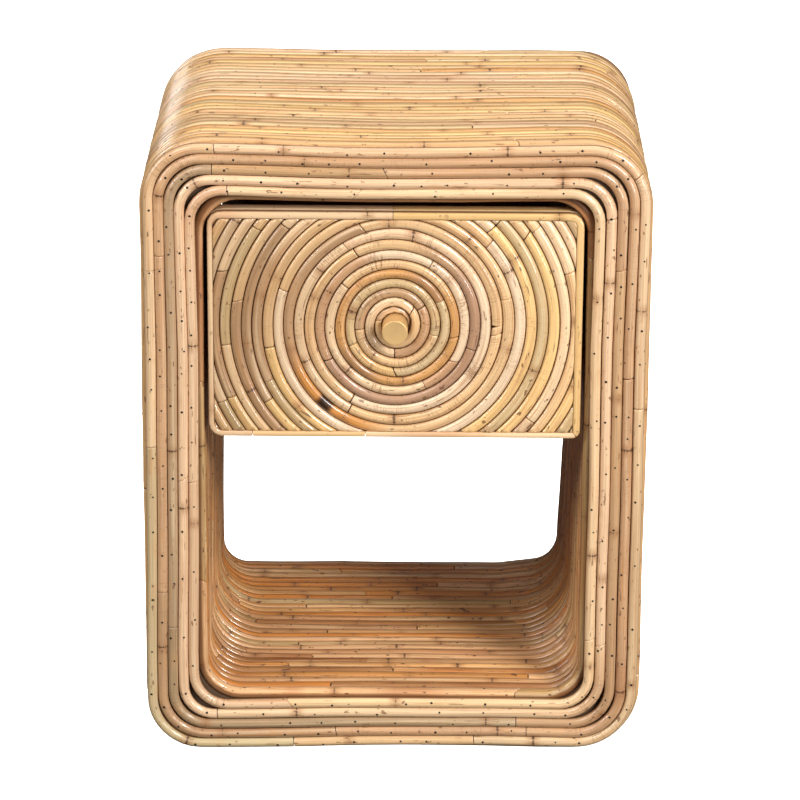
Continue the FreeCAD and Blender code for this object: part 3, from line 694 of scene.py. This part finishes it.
def skin(side, sign, corners, front_corners, seed):
    """All the rows of one skin, a piece for each of its CAD nodes. The first rows have corners of their own."""
    rng = np.random.default_rng(seed)
    look = SKINS[side]
    low, high = box_of(f"{side}_pole_01")
    radius = SKIN_POLE / 2
    # an inner loop's crest faces inwards, so its centreline still lies half a pole inside its box
    sizes = (float(high[0]) - radius, float(low[2]) + radius, float(high[2]) - radius)
    loop, front_loop = Loop(*sizes, corners), Loop(*sizes, front_corners)
    shared_in = Wave(rng, loop.length, 0.12, 0.00030, drift=0.5)
    shared_y = Wave(rng, loop.length, 0.22, 0.00080, drift=0.35)
    # neighbouring poles differ in girth, and share the depth out between them
    girths = 1 + rng.uniform(-look["uneven"], look["uneven"], ROWS)
    girths *= ROWS / girths.sum()
    edges = ROW_FIRST - ROW_PITCH / 2 + ROW_PITCH * np.concatenate([[0], np.cumsum(girths)])
    tracks = {}
    for row in range(1, ROWS + 1):
        own_in = Wave(rng, loop.length, 0.20, 0.00022)
        own_y = Wave(rng, loop.length, 0.25, 0.00014)
        y = float(edges[row - 1] + edges[row]) / 2
        # the rows at either end keep straighter, since the face rings close them
        edge = min(row - 1, ROWS - row) / 2
        # how far back the row is behind the third
        spread = max(0.0, (row - 3) / (ROWS - 3))
        leaning = BAY_LEAN * spread if side == "inner" else 0.0

        def wave_in(s, x, z, own=own_in, y=y, row=row, leaning=leaning):
            wavy = np.abs(shared_in(s, row)) + np.abs(own(s))
            return sign * wavy + sag(x, z, y, look["sag"]) + leaning * lower_right(x, z)

        def wave_y(s, own=own_y, row=row, edge=edge):
            return shared_y(s, row) * min(1.0, edge / 2) + own(s) * min(1.0, edge)

        own_loop = front_loop if row <= FRONT_ROWS else loop
        if side == "inner" and row > FRONT_ROWS:
            upper = corners[0] + BAY_THIRD_EXTRA if row == 3 else corners[0]
            widening = BAY_MIDDLE_SPREAD * math.sin(math.pi * spread)
            lower_corners = (
                corners[1] + widening + BAY_BACK_SPREAD * spread,
                corners[2] + widening - BAY_BACK_CLOSE * spread,
            )
            own_loop = Loop(*sizes, (upper, *lower_corners, upper))
        track = Track(own_loop, y, radius, look["face"], wave_in, wave_y)
        track.girth = float(girths[row - 1])
        for setting in ("square", "groove", "shade", "blotches", "nodes"):
            setattr(track, setting, look[setting])
        # painted shade on the outside's first rows, where the light falls strongest
        if side == "outer" and row <= FRONT_ROWS:
            track.shade = FRONT_ROWS_PAINTED_SHADE
        tracks[row] = track
    for node in NODES:
        found = re.fullmatch(side + r"_poles?_(\d+)(?:_to_(\d+))?", node)
        if not found:
            continue
        poles = Poles()
        for row in range(int(found[1]), int(found[2] or found[1]) + 1):
            count = int(rng.integers(*look["lengths"]))
            splices = scattered(rng, count, tracks[row].loop.length)
            tones = [str(rng.choice(look["tones"])) for _ in splices]
            if row <= FRONT_ROWS and side == "outer":
                tones = ["honey", "yellow", "honey"][:count]
            slants = [float(rng.choice([0, 0, 0.5, -0.8])) for _ in splices]
            add_track(poles, tracks[row], splices, tones, rng, slants)
        piece = poles.build("rattan_" + node, look["material"])
        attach(piece, "frame")
        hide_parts(node)
    return tracks


# Corner radii of the face rings' centrelines, clockwise from the upper right, from the outermost ring in.
RING_CORNERS = (
    (0.0430, 0.0460, 0.0380, 0.0410),
    (0.0340, 0.0375, 0.0330, 0.0345),
    (0.0290, 0.0325, 0.0270, 0.0290),
    (0.0270, 0.0315, 0.0230, 0.0245),
    (0.0240, 0.0255, 0.0260, 0.0250),
)
# How strongly each ring is ribbed across where it runs straight, as the curvature that cracks it as much.
RING_RIBS = (2.0, 19.0, 10.0, 3.0, 3.0)
# The length that the rings' shared waves are spread over, whatever a ring's own length.
RING_RUN = 1.6
# How much straighter the back rings run than the front ones.
BACK_SHIFT_SHARE = 0.4
# How far the rings stand inwards of their even places, as x and z in metres and the shifts of the outermost
# and the innermost ring. The poles were bent by hand, so no side is quite straight.
RING_SHIFTS = (
    (0.080, 0.510, -0.0006, -0.0006),
    (0.196, 0.444, 0.0000, 0.0004),
    (0.196, 0.346, 0.0013, 0.0016),
    (0.196, 0.220, 0.0002, 0.0001),
    (0.196, 0.090, -0.0003, 0.0002),
    (0.080, 0.004, 0.0022, 0.0010),
    (-0.080, 0.004, -0.0008, 0.0000),
    (-0.196, 0.087, -0.0010, -0.0019),
    (-0.196, 0.343, 0.0015, 0.0006),
    (-0.196, 0.441, 0.0010, -0.0014),
    (-0.080, 0.510, -0.0009, -0.0004),
)
# Where the front rings' lengths meet, as x and z in metres, clockwise, and the slant of each cut.
FRONT_SPLICES = (
    ((0.190, 0.488, 0.2), (0.193, 0.297, 0.0), (0.066, 0.006, 0.1), (-0.080, 0.006, 0.1),
     (-0.194, 0.262, 0.0), (-0.194, 0.408, 0.0), (-0.140, 0.503, 0.1)),
    ((0.185, 0.322, 0.1), (0.108, 0.015, 0.0), (-0.046, 0.015, 0.2), (-0.185, 0.138, 0.0),
     (-0.185, 0.420, 0.0)),
    ((0.176, 0.411, 0.2), (0.100, 0.024, 0.0), (-0.176, 0.108, 0.0), (-0.142, 0.486, 0.0),
     (-0.008, 0.486, 0.5)),
    ((0.167, 0.452, 0.2), (0.166, 0.095, 0.3), (-0.142, 0.034, 0.0), (-0.167, 0.235, 0.5)),
    ((0.158, 0.100, 0.3), (-0.083, 0.043, 0.7), (-0.158, 0.233, 0.2), (-0.130, 0.469, 0.1),
     (-0.030, 0.469, -0.9)),
)
FRONT_TONES = (
    ("pale", "pale", "honey", "olive", "pale", "pale", "blush"),
    ("rosy", "rosy", "tan", "rosy", "rosy"),
    ("tan", "moss", "moss", "tan", "rosy"),
    ("blush", "pale", "blush", "blush"),
    ("pale", "blush", "blush", "pale", "pale"),
)


def face_rings(side, sign, seed):
    """The rings that close a face of the frame."""
    rng = np.random.default_rng(seed)
    tracks = []
    shared_in = Wave(rng, RING_RUN, 0.13, 0.00045)
    shared_y = Wave(rng, RING_RUN, 0.20, 0.00012)
    innermost = len(RING_CORNERS) - 1
    for index in range(len(RING_CORNERS)):
        node = f"{side}_ring_{index + 1}"
        low, high = box_of(node)
        radius = float(high[1] - low[1]) / 2
        y = float(low[1] + high[1]) / 2
        corners = RING_CORNERS[index] if side == "front" else RING_CORNERS[index][::-1]
        loop = Loop(float(high[0]) - radius, float(low[2]) + radius, float(high[2]) - radius, corners)
        own_in = Wave(rng, loop.length, 0.25, 0.00014)
        depth = 0.0036 - 0.0004 * index
        spots = sorted(
            (loop.near(x, z), first + (last - first) * index / innermost) for x, z, first, last in RING_SHIFTS
        )

        def wave_in(s, x, z, own=own_in, depth=depth, loop=loop, spots=spots):
            stand = np.interp(s, [at for at, _ in spots], [shift for _, shift in spots], period=loop.length)
            stand = stand if side == "front" else stand * BACK_SHIFT_SHARE
            wavy = shared_in(s / loop.length * RING_RUN) + own(s)
            return wavy * 0.6 + stand + sag(x, z, -HALF_DEPTH, depth)

        def wave_y(s, loop=loop):
            return -sign * np.abs(shared_y(s / loop.length * RING_RUN))

        track = Track(loop, y, radius, side, wave_in, wave_y)
        track.ribbed = RING_RIBS[index]
        tracks.append(track)
        if side == "front":
            splices = [loop.near(x, z) for x, z, _ in FRONT_SPLICES[index]]
            order = np.argsort(splices)
            tones = [FRONT_TONES[index][i] for i in order]
            slants = [FRONT_SPLICES[index][i][2] for i in order]
            splices = [splices[i] for i in order]
        else:
            count = int(rng.integers(2, 5))
            splices = scattered(rng, count, loop.length)
            tones = [str(rng.choice(COMMON)) for _ in splices]
            slants = [float(rng.choice([0, 0.1, 0.6])) for _ in splices]
        poles = Poles()
        add_track(poles, track, splices, tones, rng, slants, thickness=0.015)
        piece = poles.build("rattan_" + node, RATTAN)
        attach(piece, "frame")
        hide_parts(node)
    return tracks


def brads(name, spots, *nodes):
    """Small dark nail heads, each a low dome just proud of the pole that it holds."""
    sides = 8
    turns = np.linspace(0, 2 * math.pi, sides, endpoint=False)
    rings = ((1.0, -0.5), (1.0, 0.10), (0.6, 0.22))
    points, quads, tris = [], [], []
    for centre, normal, radius in spots:
        across = np.cross(normal, (0.3, 0.8, 0.51))
        across /= np.linalg.norm(across)
        other = np.cross(normal, across)
        first = len(points)
        for wide, high in rings:
            for turn in turns:
                spread = across * math.cos(turn) + other * math.sin(turn)
                points.append(centre + spread * radius * wide + normal * radius * high)
        points.append(centre + normal * radius * 0.25)
        points.append(centre - normal * radius * 0.5)
        top, under = len(points) - 2, len(points) - 1
        for level in range(2):
            for k in range(sides):
                a, b = first + level * sides + k, first + level * sides + (k + 1) % sides
                quads.append((a, b, b + sides, a + sides))
        for k in range(sides):
            last = first + 2 * sides
            tris.append((last + k, last + (k + 1) % sides, top))
            tris.append((first + (k + 1) % sides, first + k, under))
    points = np.clip(np.array(points), CAD_BOX[0], CAD_BOX[1])
    piece = new_object(name, new_mesh(name, points, np.array(quads), np.array(tris)), STEEL)
    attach(piece, "frame")
    if nodes:
        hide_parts(*nodes)


def brad_spots(tracks, rng, shortest, longest, radius):
    """Nails at uneven spacings along the tracks, a little off each pole's crest."""
    spots = []
    for track in tracks:
        at = rng.uniform(0, longest)
        while at < track.loop.length:
            # a draw that nothing reads, kept because every nail's place depends on the order of the draws
            rng.uniform()
            centre, crest, across, _ = track.at(np.array([at]))
            lean = rng.normal(0, 0.22)
            out = crest[0] * math.cos(lean) + across[0] * math.sin(lean)
            spots.append((centre[0] + out * track.radius * 0.99, out, radius * rng.uniform(0.75, 1.1)))
            at += rng.uniform(shortest, longest)
    return spots


OUTER_BENDS = corner_list(OUTER_CORNER - SKIN_POLE / 2, OUTER_CORNER - SKIN_POLE / 2)
BAY_BENDS = corner_list(BAY_UPPER_CORNER + SKIN_POLE / 2, BAY_LOWER_CORNER + SKIN_POLE / 2)
BAY_FRONT_BENDS = corner_list(BAY_FRONT_CORNER + SKIN_POLE / 2, BAY_LOWER_CORNER + SKIN_POLE / 2)
outer_tracks = skin("outer", 1, OUTER_BENDS, OUTER_BENDS, 21)
inner_tracks = skin("inner", -1, BAY_BENDS, BAY_FRONT_BENDS, 22)
front_tracks = face_rings("front", -1, 31)
back_tracks = face_rings("back", 1, 32)
nail_rng = np.random.default_rng(41)
brads("front_brads_seen", brad_spots(front_tracks, nail_rng, 0.018, 0.060, 0.00095), "front_brads")
brads("back_brads_seen", brad_spots(back_tracks, nail_rng, 0.018, 0.060, 0.00095), "back_brads")
brads("outer_skin_brads", brad_spots(list(outer_tracks.values()), nail_rng, 0.05, 0.22, 0.00075))
brads("inner_skin_brads", brad_spots(list(inner_tracks.values()), nail_rng, 0.05, 0.22, 0.00075))

# ---- the drawer's front ----

KNOB_LOW, KNOB_HIGH = box_of("drawer_knob")
KNOB_RADIUS = float(KNOB_HIGH[0] - KNOB_LOW[0]) / 2
KNOB_Z = float(KNOB_LOW[2] + KNOB_HIGH[2]) / 2
COIL_LOW, COIL_HIGH = box_of("drawer_coil_arcs")
COIL_Y = float(COIL_LOW[1] + COIL_HIGH[1]) / 2
COIL_DEPTH = float(COIL_HIGH[1] - COIL_LOW[1]) / 2
WHOLE_TURNS = 9
ALL_TURNS = 20


def coil_edge(turns):
    """The outer edge of the spiral about the knob, after that many turns anticlockwise from +X."""
    angle = turns * 2 * math.pi
    inner, outer = np.minimum(turns, COIL_CHANGE), np.maximum(turns - COIL_CHANGE, 0)
    mean = COIL_START + COIL_FIRST_PITCH * inner + COIL_LAST_PITCH * outer
    spread = COIL_SPREAD * np.maximum(turns - SPREAD_START, 0) * np.cos((angle - SPREAD_ANGLE) / 2) ** 2
    oval = -COIL_OVAL * np.cos(2 * angle)
    wobble = 0.00022 * np.sin(5 * angle + turns * 0.7) + 0.00016 * np.sin(3.3 * angle + 1.0)
    return np.maximum(mean + spread + oval + wobble * np.clip(turns / 4, 0, 1), KNOB_RADIUS + KNOB_GAP)


# Where each length of the coil starts, in turns anticlockwise from +X, and its tone. A length runs on until
# the next one starts.
COIL_LENGTHS = (
    (-0.30, "pale"), (0.45, "honey"), (1.12, "pale"), (1.75, "rosy"), (2.10, "tan"), (2.52, "honey"),
    (2.96, "green"), (3.57, "yellow"), (3.75, "green"), (4.083, "umber"), (4.20, "orange"), (4.57, "umber"),
    (4.70, "orange"), (4.967, "orange"), (5.10, "honey"), (5.39, "pale"), (5.82, "rosy"), (5.91, "white"),
    (6.17, "white"), (6.30, "rosy"), (6.58, "mauve"), (6.95, "mauve"), (7.12, "tan"), (7.20, "honey"),
    (7.326, "honey"), (7.67, "white"), (8.07, "blush"), (8.336, "pale"), (8.675, "honey"), (8.986, "honey"),
    (9.30, "tan"), (9.56, "amber"), (9.72, "honey"), (10.04, "honey"), (10.45, "white"), (11.118, "honey"),
    (11.53, "yellow"), (12.13, "pale"), (12.40, "tan"), (12.57, "green"), (13.13, "pale"), (13.38, "tan"),
    (13.59, "yellow"), (14.10, "honey"), (14.475, "tan"), (14.90, "pale"), (15.10, "honey"), (15.40, "green"),
    (15.52, "honey"), (16.05, "pale"), (16.45, "tan"), (16.57, "yellow"), (17.05, "pale"), (17.57, "green"),
    (17.90, "green"), (18.10, "honey"), (18.60, "tan"), (18.90, "green"), (19.40, "tan"),
)
# Changes of tone within a length, without a cut.
COIL_SOFT = (4.20, 4.57, 4.70, 5.10, 6.30, 7.12, 7.20, 8.07, 9.56, 9.72, 12.40)
# A black scorch across one pole: its middle and half its length, in turns, and the closer steps of the mesh
# round it, in metres.
BURN_AT = 9.638
BURN_HALF = 0.0135
SCORCH_STEPS = (-0.008, -0.0065, -0.005, -0.0035, 0.0, 0.0035, 0.005, 0.0065, 0.008)


def coil_tint(turns):
    """The tone at each place on the coil: its length's own, eased where the tone changes without a cut."""
    starts = np.array([start for start, _ in COIL_LENGTHS])
    tones = np.array([TONES[tone] for _, tone in COIL_LENGTHS])
    which = np.clip(np.searchsorted(starts, turns, "right") - 1, 0, len(starts) - 1)
    tint = tones[which]
    for soft in COIL_SOFT:
        index = int(np.argmin(np.abs(starts - soft)))
        share = np.clip((turns - soft) / 0.05 + 0.5, 0, 1)[:, None]
        near = (np.abs(turns - soft) < 0.025)[:, None]
        tint = np.where(near, tones[index - 1] * (1 - share) + tones[index] * share, tint)
    return tint


def coil(name, first, last, rng, *nodes):
    """The spiral's turns from first to last, as lengths that meet end to end."""
    poles = Poles()
    cuts = [start for start, _ in COIL_LENGTHS if start not in COIL_SOFT and first < start < last]
    cuts = [first, *cuts, last]
    leans = [float(rng.choice([0, 0, 0.12, -0.12, 0.4])) for _ in cuts]
    for index, (start, end) in enumerate(zip(cuts, cuts[1:])):
        reach = float(coil_edge(np.array([(start + end) / 2]))[0]) - COIL_FIRST_PITCH / 2
        per_turn = 2 * math.pi * reach
        gap = SPLICE_GAP * 0.35 / per_turn
        marks = marks_along(rng, start * per_turn, end * per_turn, 0.05, 0.22)
        strengths = [float(rng.uniform(0.1, 1)) for _ in marks]
        scorch = [BURN_AT * per_turn + shift for shift in SCORCH_STEPS if start < BURN_AT < end]
        s = sampled((start + gap) * per_turn, (end - gap) * per_turn, marks + scorch)
        turns = s / per_turn
        inner, outer = coil_edge(turns - 1), coil_edge(turns)
        middle = (inner + outer) / 2
        wide = np.maximum((outer - inner) / 2, 0.0002) * rng.uniform(0.955, 0.995) * end_taper(s)
        deep = np.minimum(COIL_DEPTH, wide * 1.20) * rng.uniform(0.93, 1.0) * end_taper(s)
        angle = turns * 2 * math.pi
        radial = np.stack([np.cos(angle), np.zeros_like(angle), np.sin(angle)], -1)
        centre = radial * middle[:, None] + np.array([0, COIL_Y, KNOB_Z])
        centre[:, 1] += COIL_DEPTH - deep
        crest = np.broadcast_to(np.array([0.0, -1.0, 0.0]), radial.shape)
        tint = coil_tint(turns) * rng.uniform(0.95, 1.04)
        # the coil's far left is darker and browner, partly its tone and partly painted shade where less light
        # falls, and its
        #  right a little lighter, painted light; the scorch below is its own colour
        aside = np.cos(angle) * middle / 0.12
        shade = 1.0 - 0.27 * np.clip(-aside * 1.5 - 0.5, 0, 1) + 0.12 * np.clip(aside, 0, 1)
        shade *= 1 - 0.985 * np.exp(-(((turns - BURN_AT) / BURN_HALF) ** 6))
        tint = tint * shade[:, None] ** (0.9, 1.0, 1.15)
        bend = np.full(len(s), min(60.0, 1 / reach * 1.3))
        poles.add(
            centre, crest, -radial, deep, wide, s, bend, scar_distance(s, marks, strengths), tint, rng,
            slants=(leans[index], leans[index + 1]), square=2.3,
        )
    piece = poles.build(name, COIL)
    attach(piece, "drawer")
    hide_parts(*nodes)
    return piece


def trim(piece, low_x, high_x, low_z, high_z):
    """Cuts a piece square, and closes the cut ends."""
    shape = bmesh.new()
    shape.from_mesh(piece.data)
    cuts = (
        ((low_x, 0, 0), (-1, 0, 0)),
        ((high_x, 0, 0), (1, 0, 0)),
        ((0, 0, low_z), (0, 0, -1)),
        ((0, 0, high_z), (0, 0, 1)),
    )
    for point, outward in cuts:
        everything = shape.verts[:] + shape.edges[:] + shape.faces[:]
        bmesh.ops.bisect_plane(
            shape, geom=everything, plane_co=point, plane_no=outward, clear_outer=True, dist=1e-6
        )
        rims = [edge for edge in shape.edges if edge.is_boundary]
        bmesh.ops.holes_fill(shape, edges=rims, sides=0)
    bmesh.ops.triangulate(shape, faces=[face for face in shape.faces if len(face.verts) > 4])
    shape.to_mesh(piece.data)
    shape.free()


BINDING_LOW, BINDING_HIGH = box_of("drawer_edge_binding")
# The binding's width as it shows on the drawer's right, top, left and bottom.
BINDING_RIGHT = 0.0058
BINDING_TOP = 0.0058
BINDING_LEFT = 0.0043
BINDING_FOOT = 0.0046
CLEAR = 0.0002
LIP_PROUD = 0.0003
LIP_THICK = 0.0016
coil_rng = np.random.default_rng(51)
coil("rattan_coil_rings", -0.30, WHOLE_TURNS, coil_rng, "drawer_coil_rings")
arcs = coil("rattan_coil_arcs", WHOLE_TURNS, ALL_TURNS, coil_rng, "drawer_coil_arcs")
trim(
    arcs,
    float(BINDING_LOW[0]) + BINDING_LEFT + CLEAR,
    float(BINDING_HIGH[0]) - BINDING_RIGHT - CLEAR,
    float(BINDING_LOW[2]) + BINDING_FOOT + CLEAR,
    float(BINDING_HIGH[2]) - BINDING_TOP - CLEAR,
)


def binding():
    """The cane strip round the front's edge, in lengths that meet at its splices."""
    rng = np.random.default_rng(61)
    deep = float(BINDING_HIGH[1] - BINDING_LOW[1]) / 2
    y = float(BINDING_LOW[1] + BINDING_HIGH[1]) / 2
    corners = (BINDING_CORNER, BINDING_TIGHT, BINDING_CORNER, BINDING_CORNER)
    loop = Loop(float(BINDING_HIGH[0]), float(BINDING_LOW[2]), float(BINDING_HIGH[2]), corners)
    splices = sorted(
        loop.near(x, z) for x, z in ((0.143, 0.271), (-0.023, 0.271), (-0.112, 0.271), (-0.002, 0.455))
    )
    poles = Poles()
    for index, (start, end) in enumerate(spans(splices, loop.length)):
        marks = marks_along(rng, start, end, 0.15, 0.40)
        strengths = [float(rng.uniform(0, 0.5)) for _ in marks]
        s = sampled(start + SPLICE_GAP / 3, end - SPLICE_GAP / 3, marks)
        x, z, heading, _ = loop.at(s)
        normal, tangent = directions(heading)
        half = (
            BINDING_RIGHT * np.maximum(normal[:, 0], 0) ** 2
            + BINDING_TOP * np.maximum(normal[:, 2], 0) ** 2
            + BINDING_LEFT * np.maximum(-normal[:, 0], 0) ** 2
            + BINDING_FOOT * np.maximum(-normal[:, 2], 0) ** 2
        ) / 2
        centre = np.stack([x, np.full_like(x, y), z], -1) - normal * half[:, None]
        crest = np.broadcast_to(np.array([0.0, -1.0, 0.0]), normal.shape)
        taper = end_taper(s)
        tint = shaded("yellow" if index % 2 else "pale", s, rng)
        over = np.cross(tangent, crest)
        poles.add(
            centre, crest, over, deep * taper, half * taper, s, loop.smooth_bend(s) * 0.3,
            scar_distance(s, marks, strengths), tint, rng, square=4.5,
        )
        # a second strip, which closes the panel's edge behind the first
        panel_back = float(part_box("drawer_front_panel")[1][1])
        lip_deep = (panel_back - float(BINDING_HIGH[1])) / 2
        lip = centre + normal * (half + LIP_PROUD - LIP_THICK / 2)[:, None]
        lip[:, 1] = float(BINDING_HIGH[1]) + lip_deep
        thick = np.full(len(s), LIP_THICK / 2)
        # the second strip's tint is a little lighter, painted light on a face that the rings above shade
        poles.add(
            lip, crest, over, lip_deep * taper * 0.97, thick, s, loop.smooth_bend(s) * 0.3,
            scar_distance(s, [], []), tint * 1.04, rng, square=6.0, groove=0.3,
        )
    piece = poles.build("cane_binding", CANE)
    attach(piece, "drawer")
    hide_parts("drawer_edge_binding")


binding()


def knob():
    """The turned brass knob: straight sides, an eased edge and a face dished a little."""
    radius = KNOB_RADIUS
    front, back = float(KNOB_LOW[1]), float(KNOB_HIGH[1])
    profile = [(0.0, front + 0.00025), (radius * 0.45, front + 0.00020), (radius * 0.80, front + 0.00006)]
    profile += [(radius * 0.92, front)]
    edge = 0.0007
    for step in range(5):
        turn = step / 4 * math.pi / 2
        profile.append((radius - edge + edge * math.sin(turn), front + edge - edge * math.cos(turn)))
    profile += [(radius, front + 0.006), (radius, front + 0.012), (radius * 0.985, front + 0.0145)]
    profile += [(radius, back), (0.0, back)]
    sides = 96
    turns = np.linspace(0, 2 * math.pi, sides, endpoint=False)
    points = [(0.0, profile[0][1], KNOB_Z)]
    for wide, y in profile[1:-1]:
        points += [(wide * math.cos(turn), y, KNOB_Z + wide * math.sin(turn)) for turn in turns]
    points.append((0.0, back, KNOB_Z))
    quads, tris = [], []
    for level in range(len(profile) - 3):
        for k in range(sides):
            a, b = 1 + level * sides + k, 1 + level * sides + (k + 1) % sides
            quads.append((a, b, b + sides, a + sides))
    last = 1 + (len(profile) - 3) * sides
    for k in range(sides):
        tris.append((0, 1 + (k + 1) % sides, 1 + k))
        tris.append((len(points) - 1, last + k, last + (k + 1) % sides))
    mesh = new_mesh("brass_knob", np.array(points), np.array(quads), np.array(tris))
    piece = new_object("brass_knob", mesh, BRASS)
    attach(piece, "drawer")
    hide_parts("drawer_knob")


knob()

# ---- the CAD nodes that stay ----

STAYING = {"carcass_wood": CARCASS_DARK_AS_SHADE, "drawer_wood": DRAWER, "steel": STEEL}
for part in frame["record"]["subparts"]:
    obj = frame["nodes"][part["node"]]
    if part["material_slot"] in STAYING:
        obj.data.materials.clear()
        obj.data.materials.append(STAYING[part["material_slot"]])

# ---- floor, light and camera ----


def floor():
    t = Tree("pale_floor")
    place = t.node("TexCoord").outputs["Object"]
    cloud = t.noise(place, (0.8, 0.8, 0.8), 3.0)
    colour = t.mix(t.between(cloud, 0.3, 0.7), (0.90, 0.90, 0.90), (0.93, 0.93, 0.93))
    material = t.finish(colour, 0.9)
    points = np.array([(-9, -9, 0), (9, -9, 0), (9, 12, 0), (-9, 12, 0)], float)
    mesh = new_mesh("floor", points, np.array([[0, 1, 2, 3]]), np.zeros((0, 3), int))
    obj = new_object("floor", mesh, material)
    # the pale sweep fills the picture without throwing its light back up at the table
    obj.visible_diffuse = False
    obj.visible_glossy = False
    return obj


def lamp(name, place, target, width, height, power):
    data = bpy.data.lights.new(name, "AREA")
    data.shape = "RECTANGLE"
    data.size, data.size_y = width, height
    data.energy = power
    obj = bpy.data.objects.new(name, data)
    bpy.context.scene.collection.objects.link(obj)
    towards = np.array(target, float) - np.array(place, float)
    towards /= np.linalg.norm(towards)
    side = np.cross(towards, (0, 0, 1))
    side /= np.linalg.norm(side)
    up = np.cross(side, towards)
    turn = Matrix((side, up, -towards)).transposed().to_4x4()
    obj.matrix_world = Matrix.Translation(place) @ turn
    return obj


stage = floor()
lamp("key", (2.0, -2.4, 1.9), (0, 0, 0.25), 1.0, 1.0, 113)
lamp("front", (1.8, -2.5, 0.4), (0, 0, 0.3), 0.5, 0.5, 22)
lamp("left", (-2.5, -1.1, 1.5), (0, 0, 0.3), 0.5, 1.2, 34)
# the rim light falls on the outside alone, not through the bay
rim = lamp("rim", (-1.7, 2.5, 1.35), (-0.15, 0, 0.45), 0.5, 0.9, 16)
outside = bpy.data.collections.new("outside")
for thing in bpy.data.objects:
    if thing.name.startswith(("rattan_outer", "rattan_back")):
        outside.objects.link(thing)
rim.light_linking.receiver_collection = outside
lamp("fill", (-1.4, -2.4, 2.7), (0, 0, 0.25), 1.6, 1.6, 48)
lamp("top", (0.0, 0.2, 3.0), (0, 0, 0), 1.6, 1.6, 18)
# the sweep's own light, which falls on it alone
wash = lamp("wash", (0, 0.4, 4.0), (0, 0.401, 0), 7.0, 7.0, 900)
sweep = bpy.data.collections.new("sweep")
sweep.objects.link(stage)
wash.light_linking.receiver_collection = sweep
wash.light_linking.blocker_collection = sweep

world = bpy.data.worlds.new("studio")
world.use_nodes = True
world.node_tree.nodes["Background"].inputs["Color"].default_value = (1.0, 0.84, 0.68, 1)
world.node_tree.nodes["Background"].inputs["Strength"].default_value = 0.07
bpy.context.scene.world = world

# Where the camera stands, and how it is turned, in degrees: to the left, down from level, and about its axis.
EYE = (0.0136, -2.9485, 1.2985)
PAN, DOWN, ROLL = 0.190, 19.567, 0.360
LENS = 170.2
camera = bpy.data.cameras.new("camera")
camera.lens = LENS
camera.sensor_width = 36
camera.clip_end = 60
eye = bpy.data.objects.new("camera", camera)
bpy.context.scene.collection.objects.link(eye)
pan = Matrix.Rotation(math.radians(PAN), 4, "Z")
tilt = Matrix.Rotation(math.radians(90 - DOWN), 4, "X") @ Matrix.Rotation(math.radians(ROLL), 4, "Z")
eye.matrix_world = Matrix.Translation(EYE) @ pan @ tilt
bpy.context.scene.camera = eye
bpy.context.scene.view_settings.view_transform = "Standard"
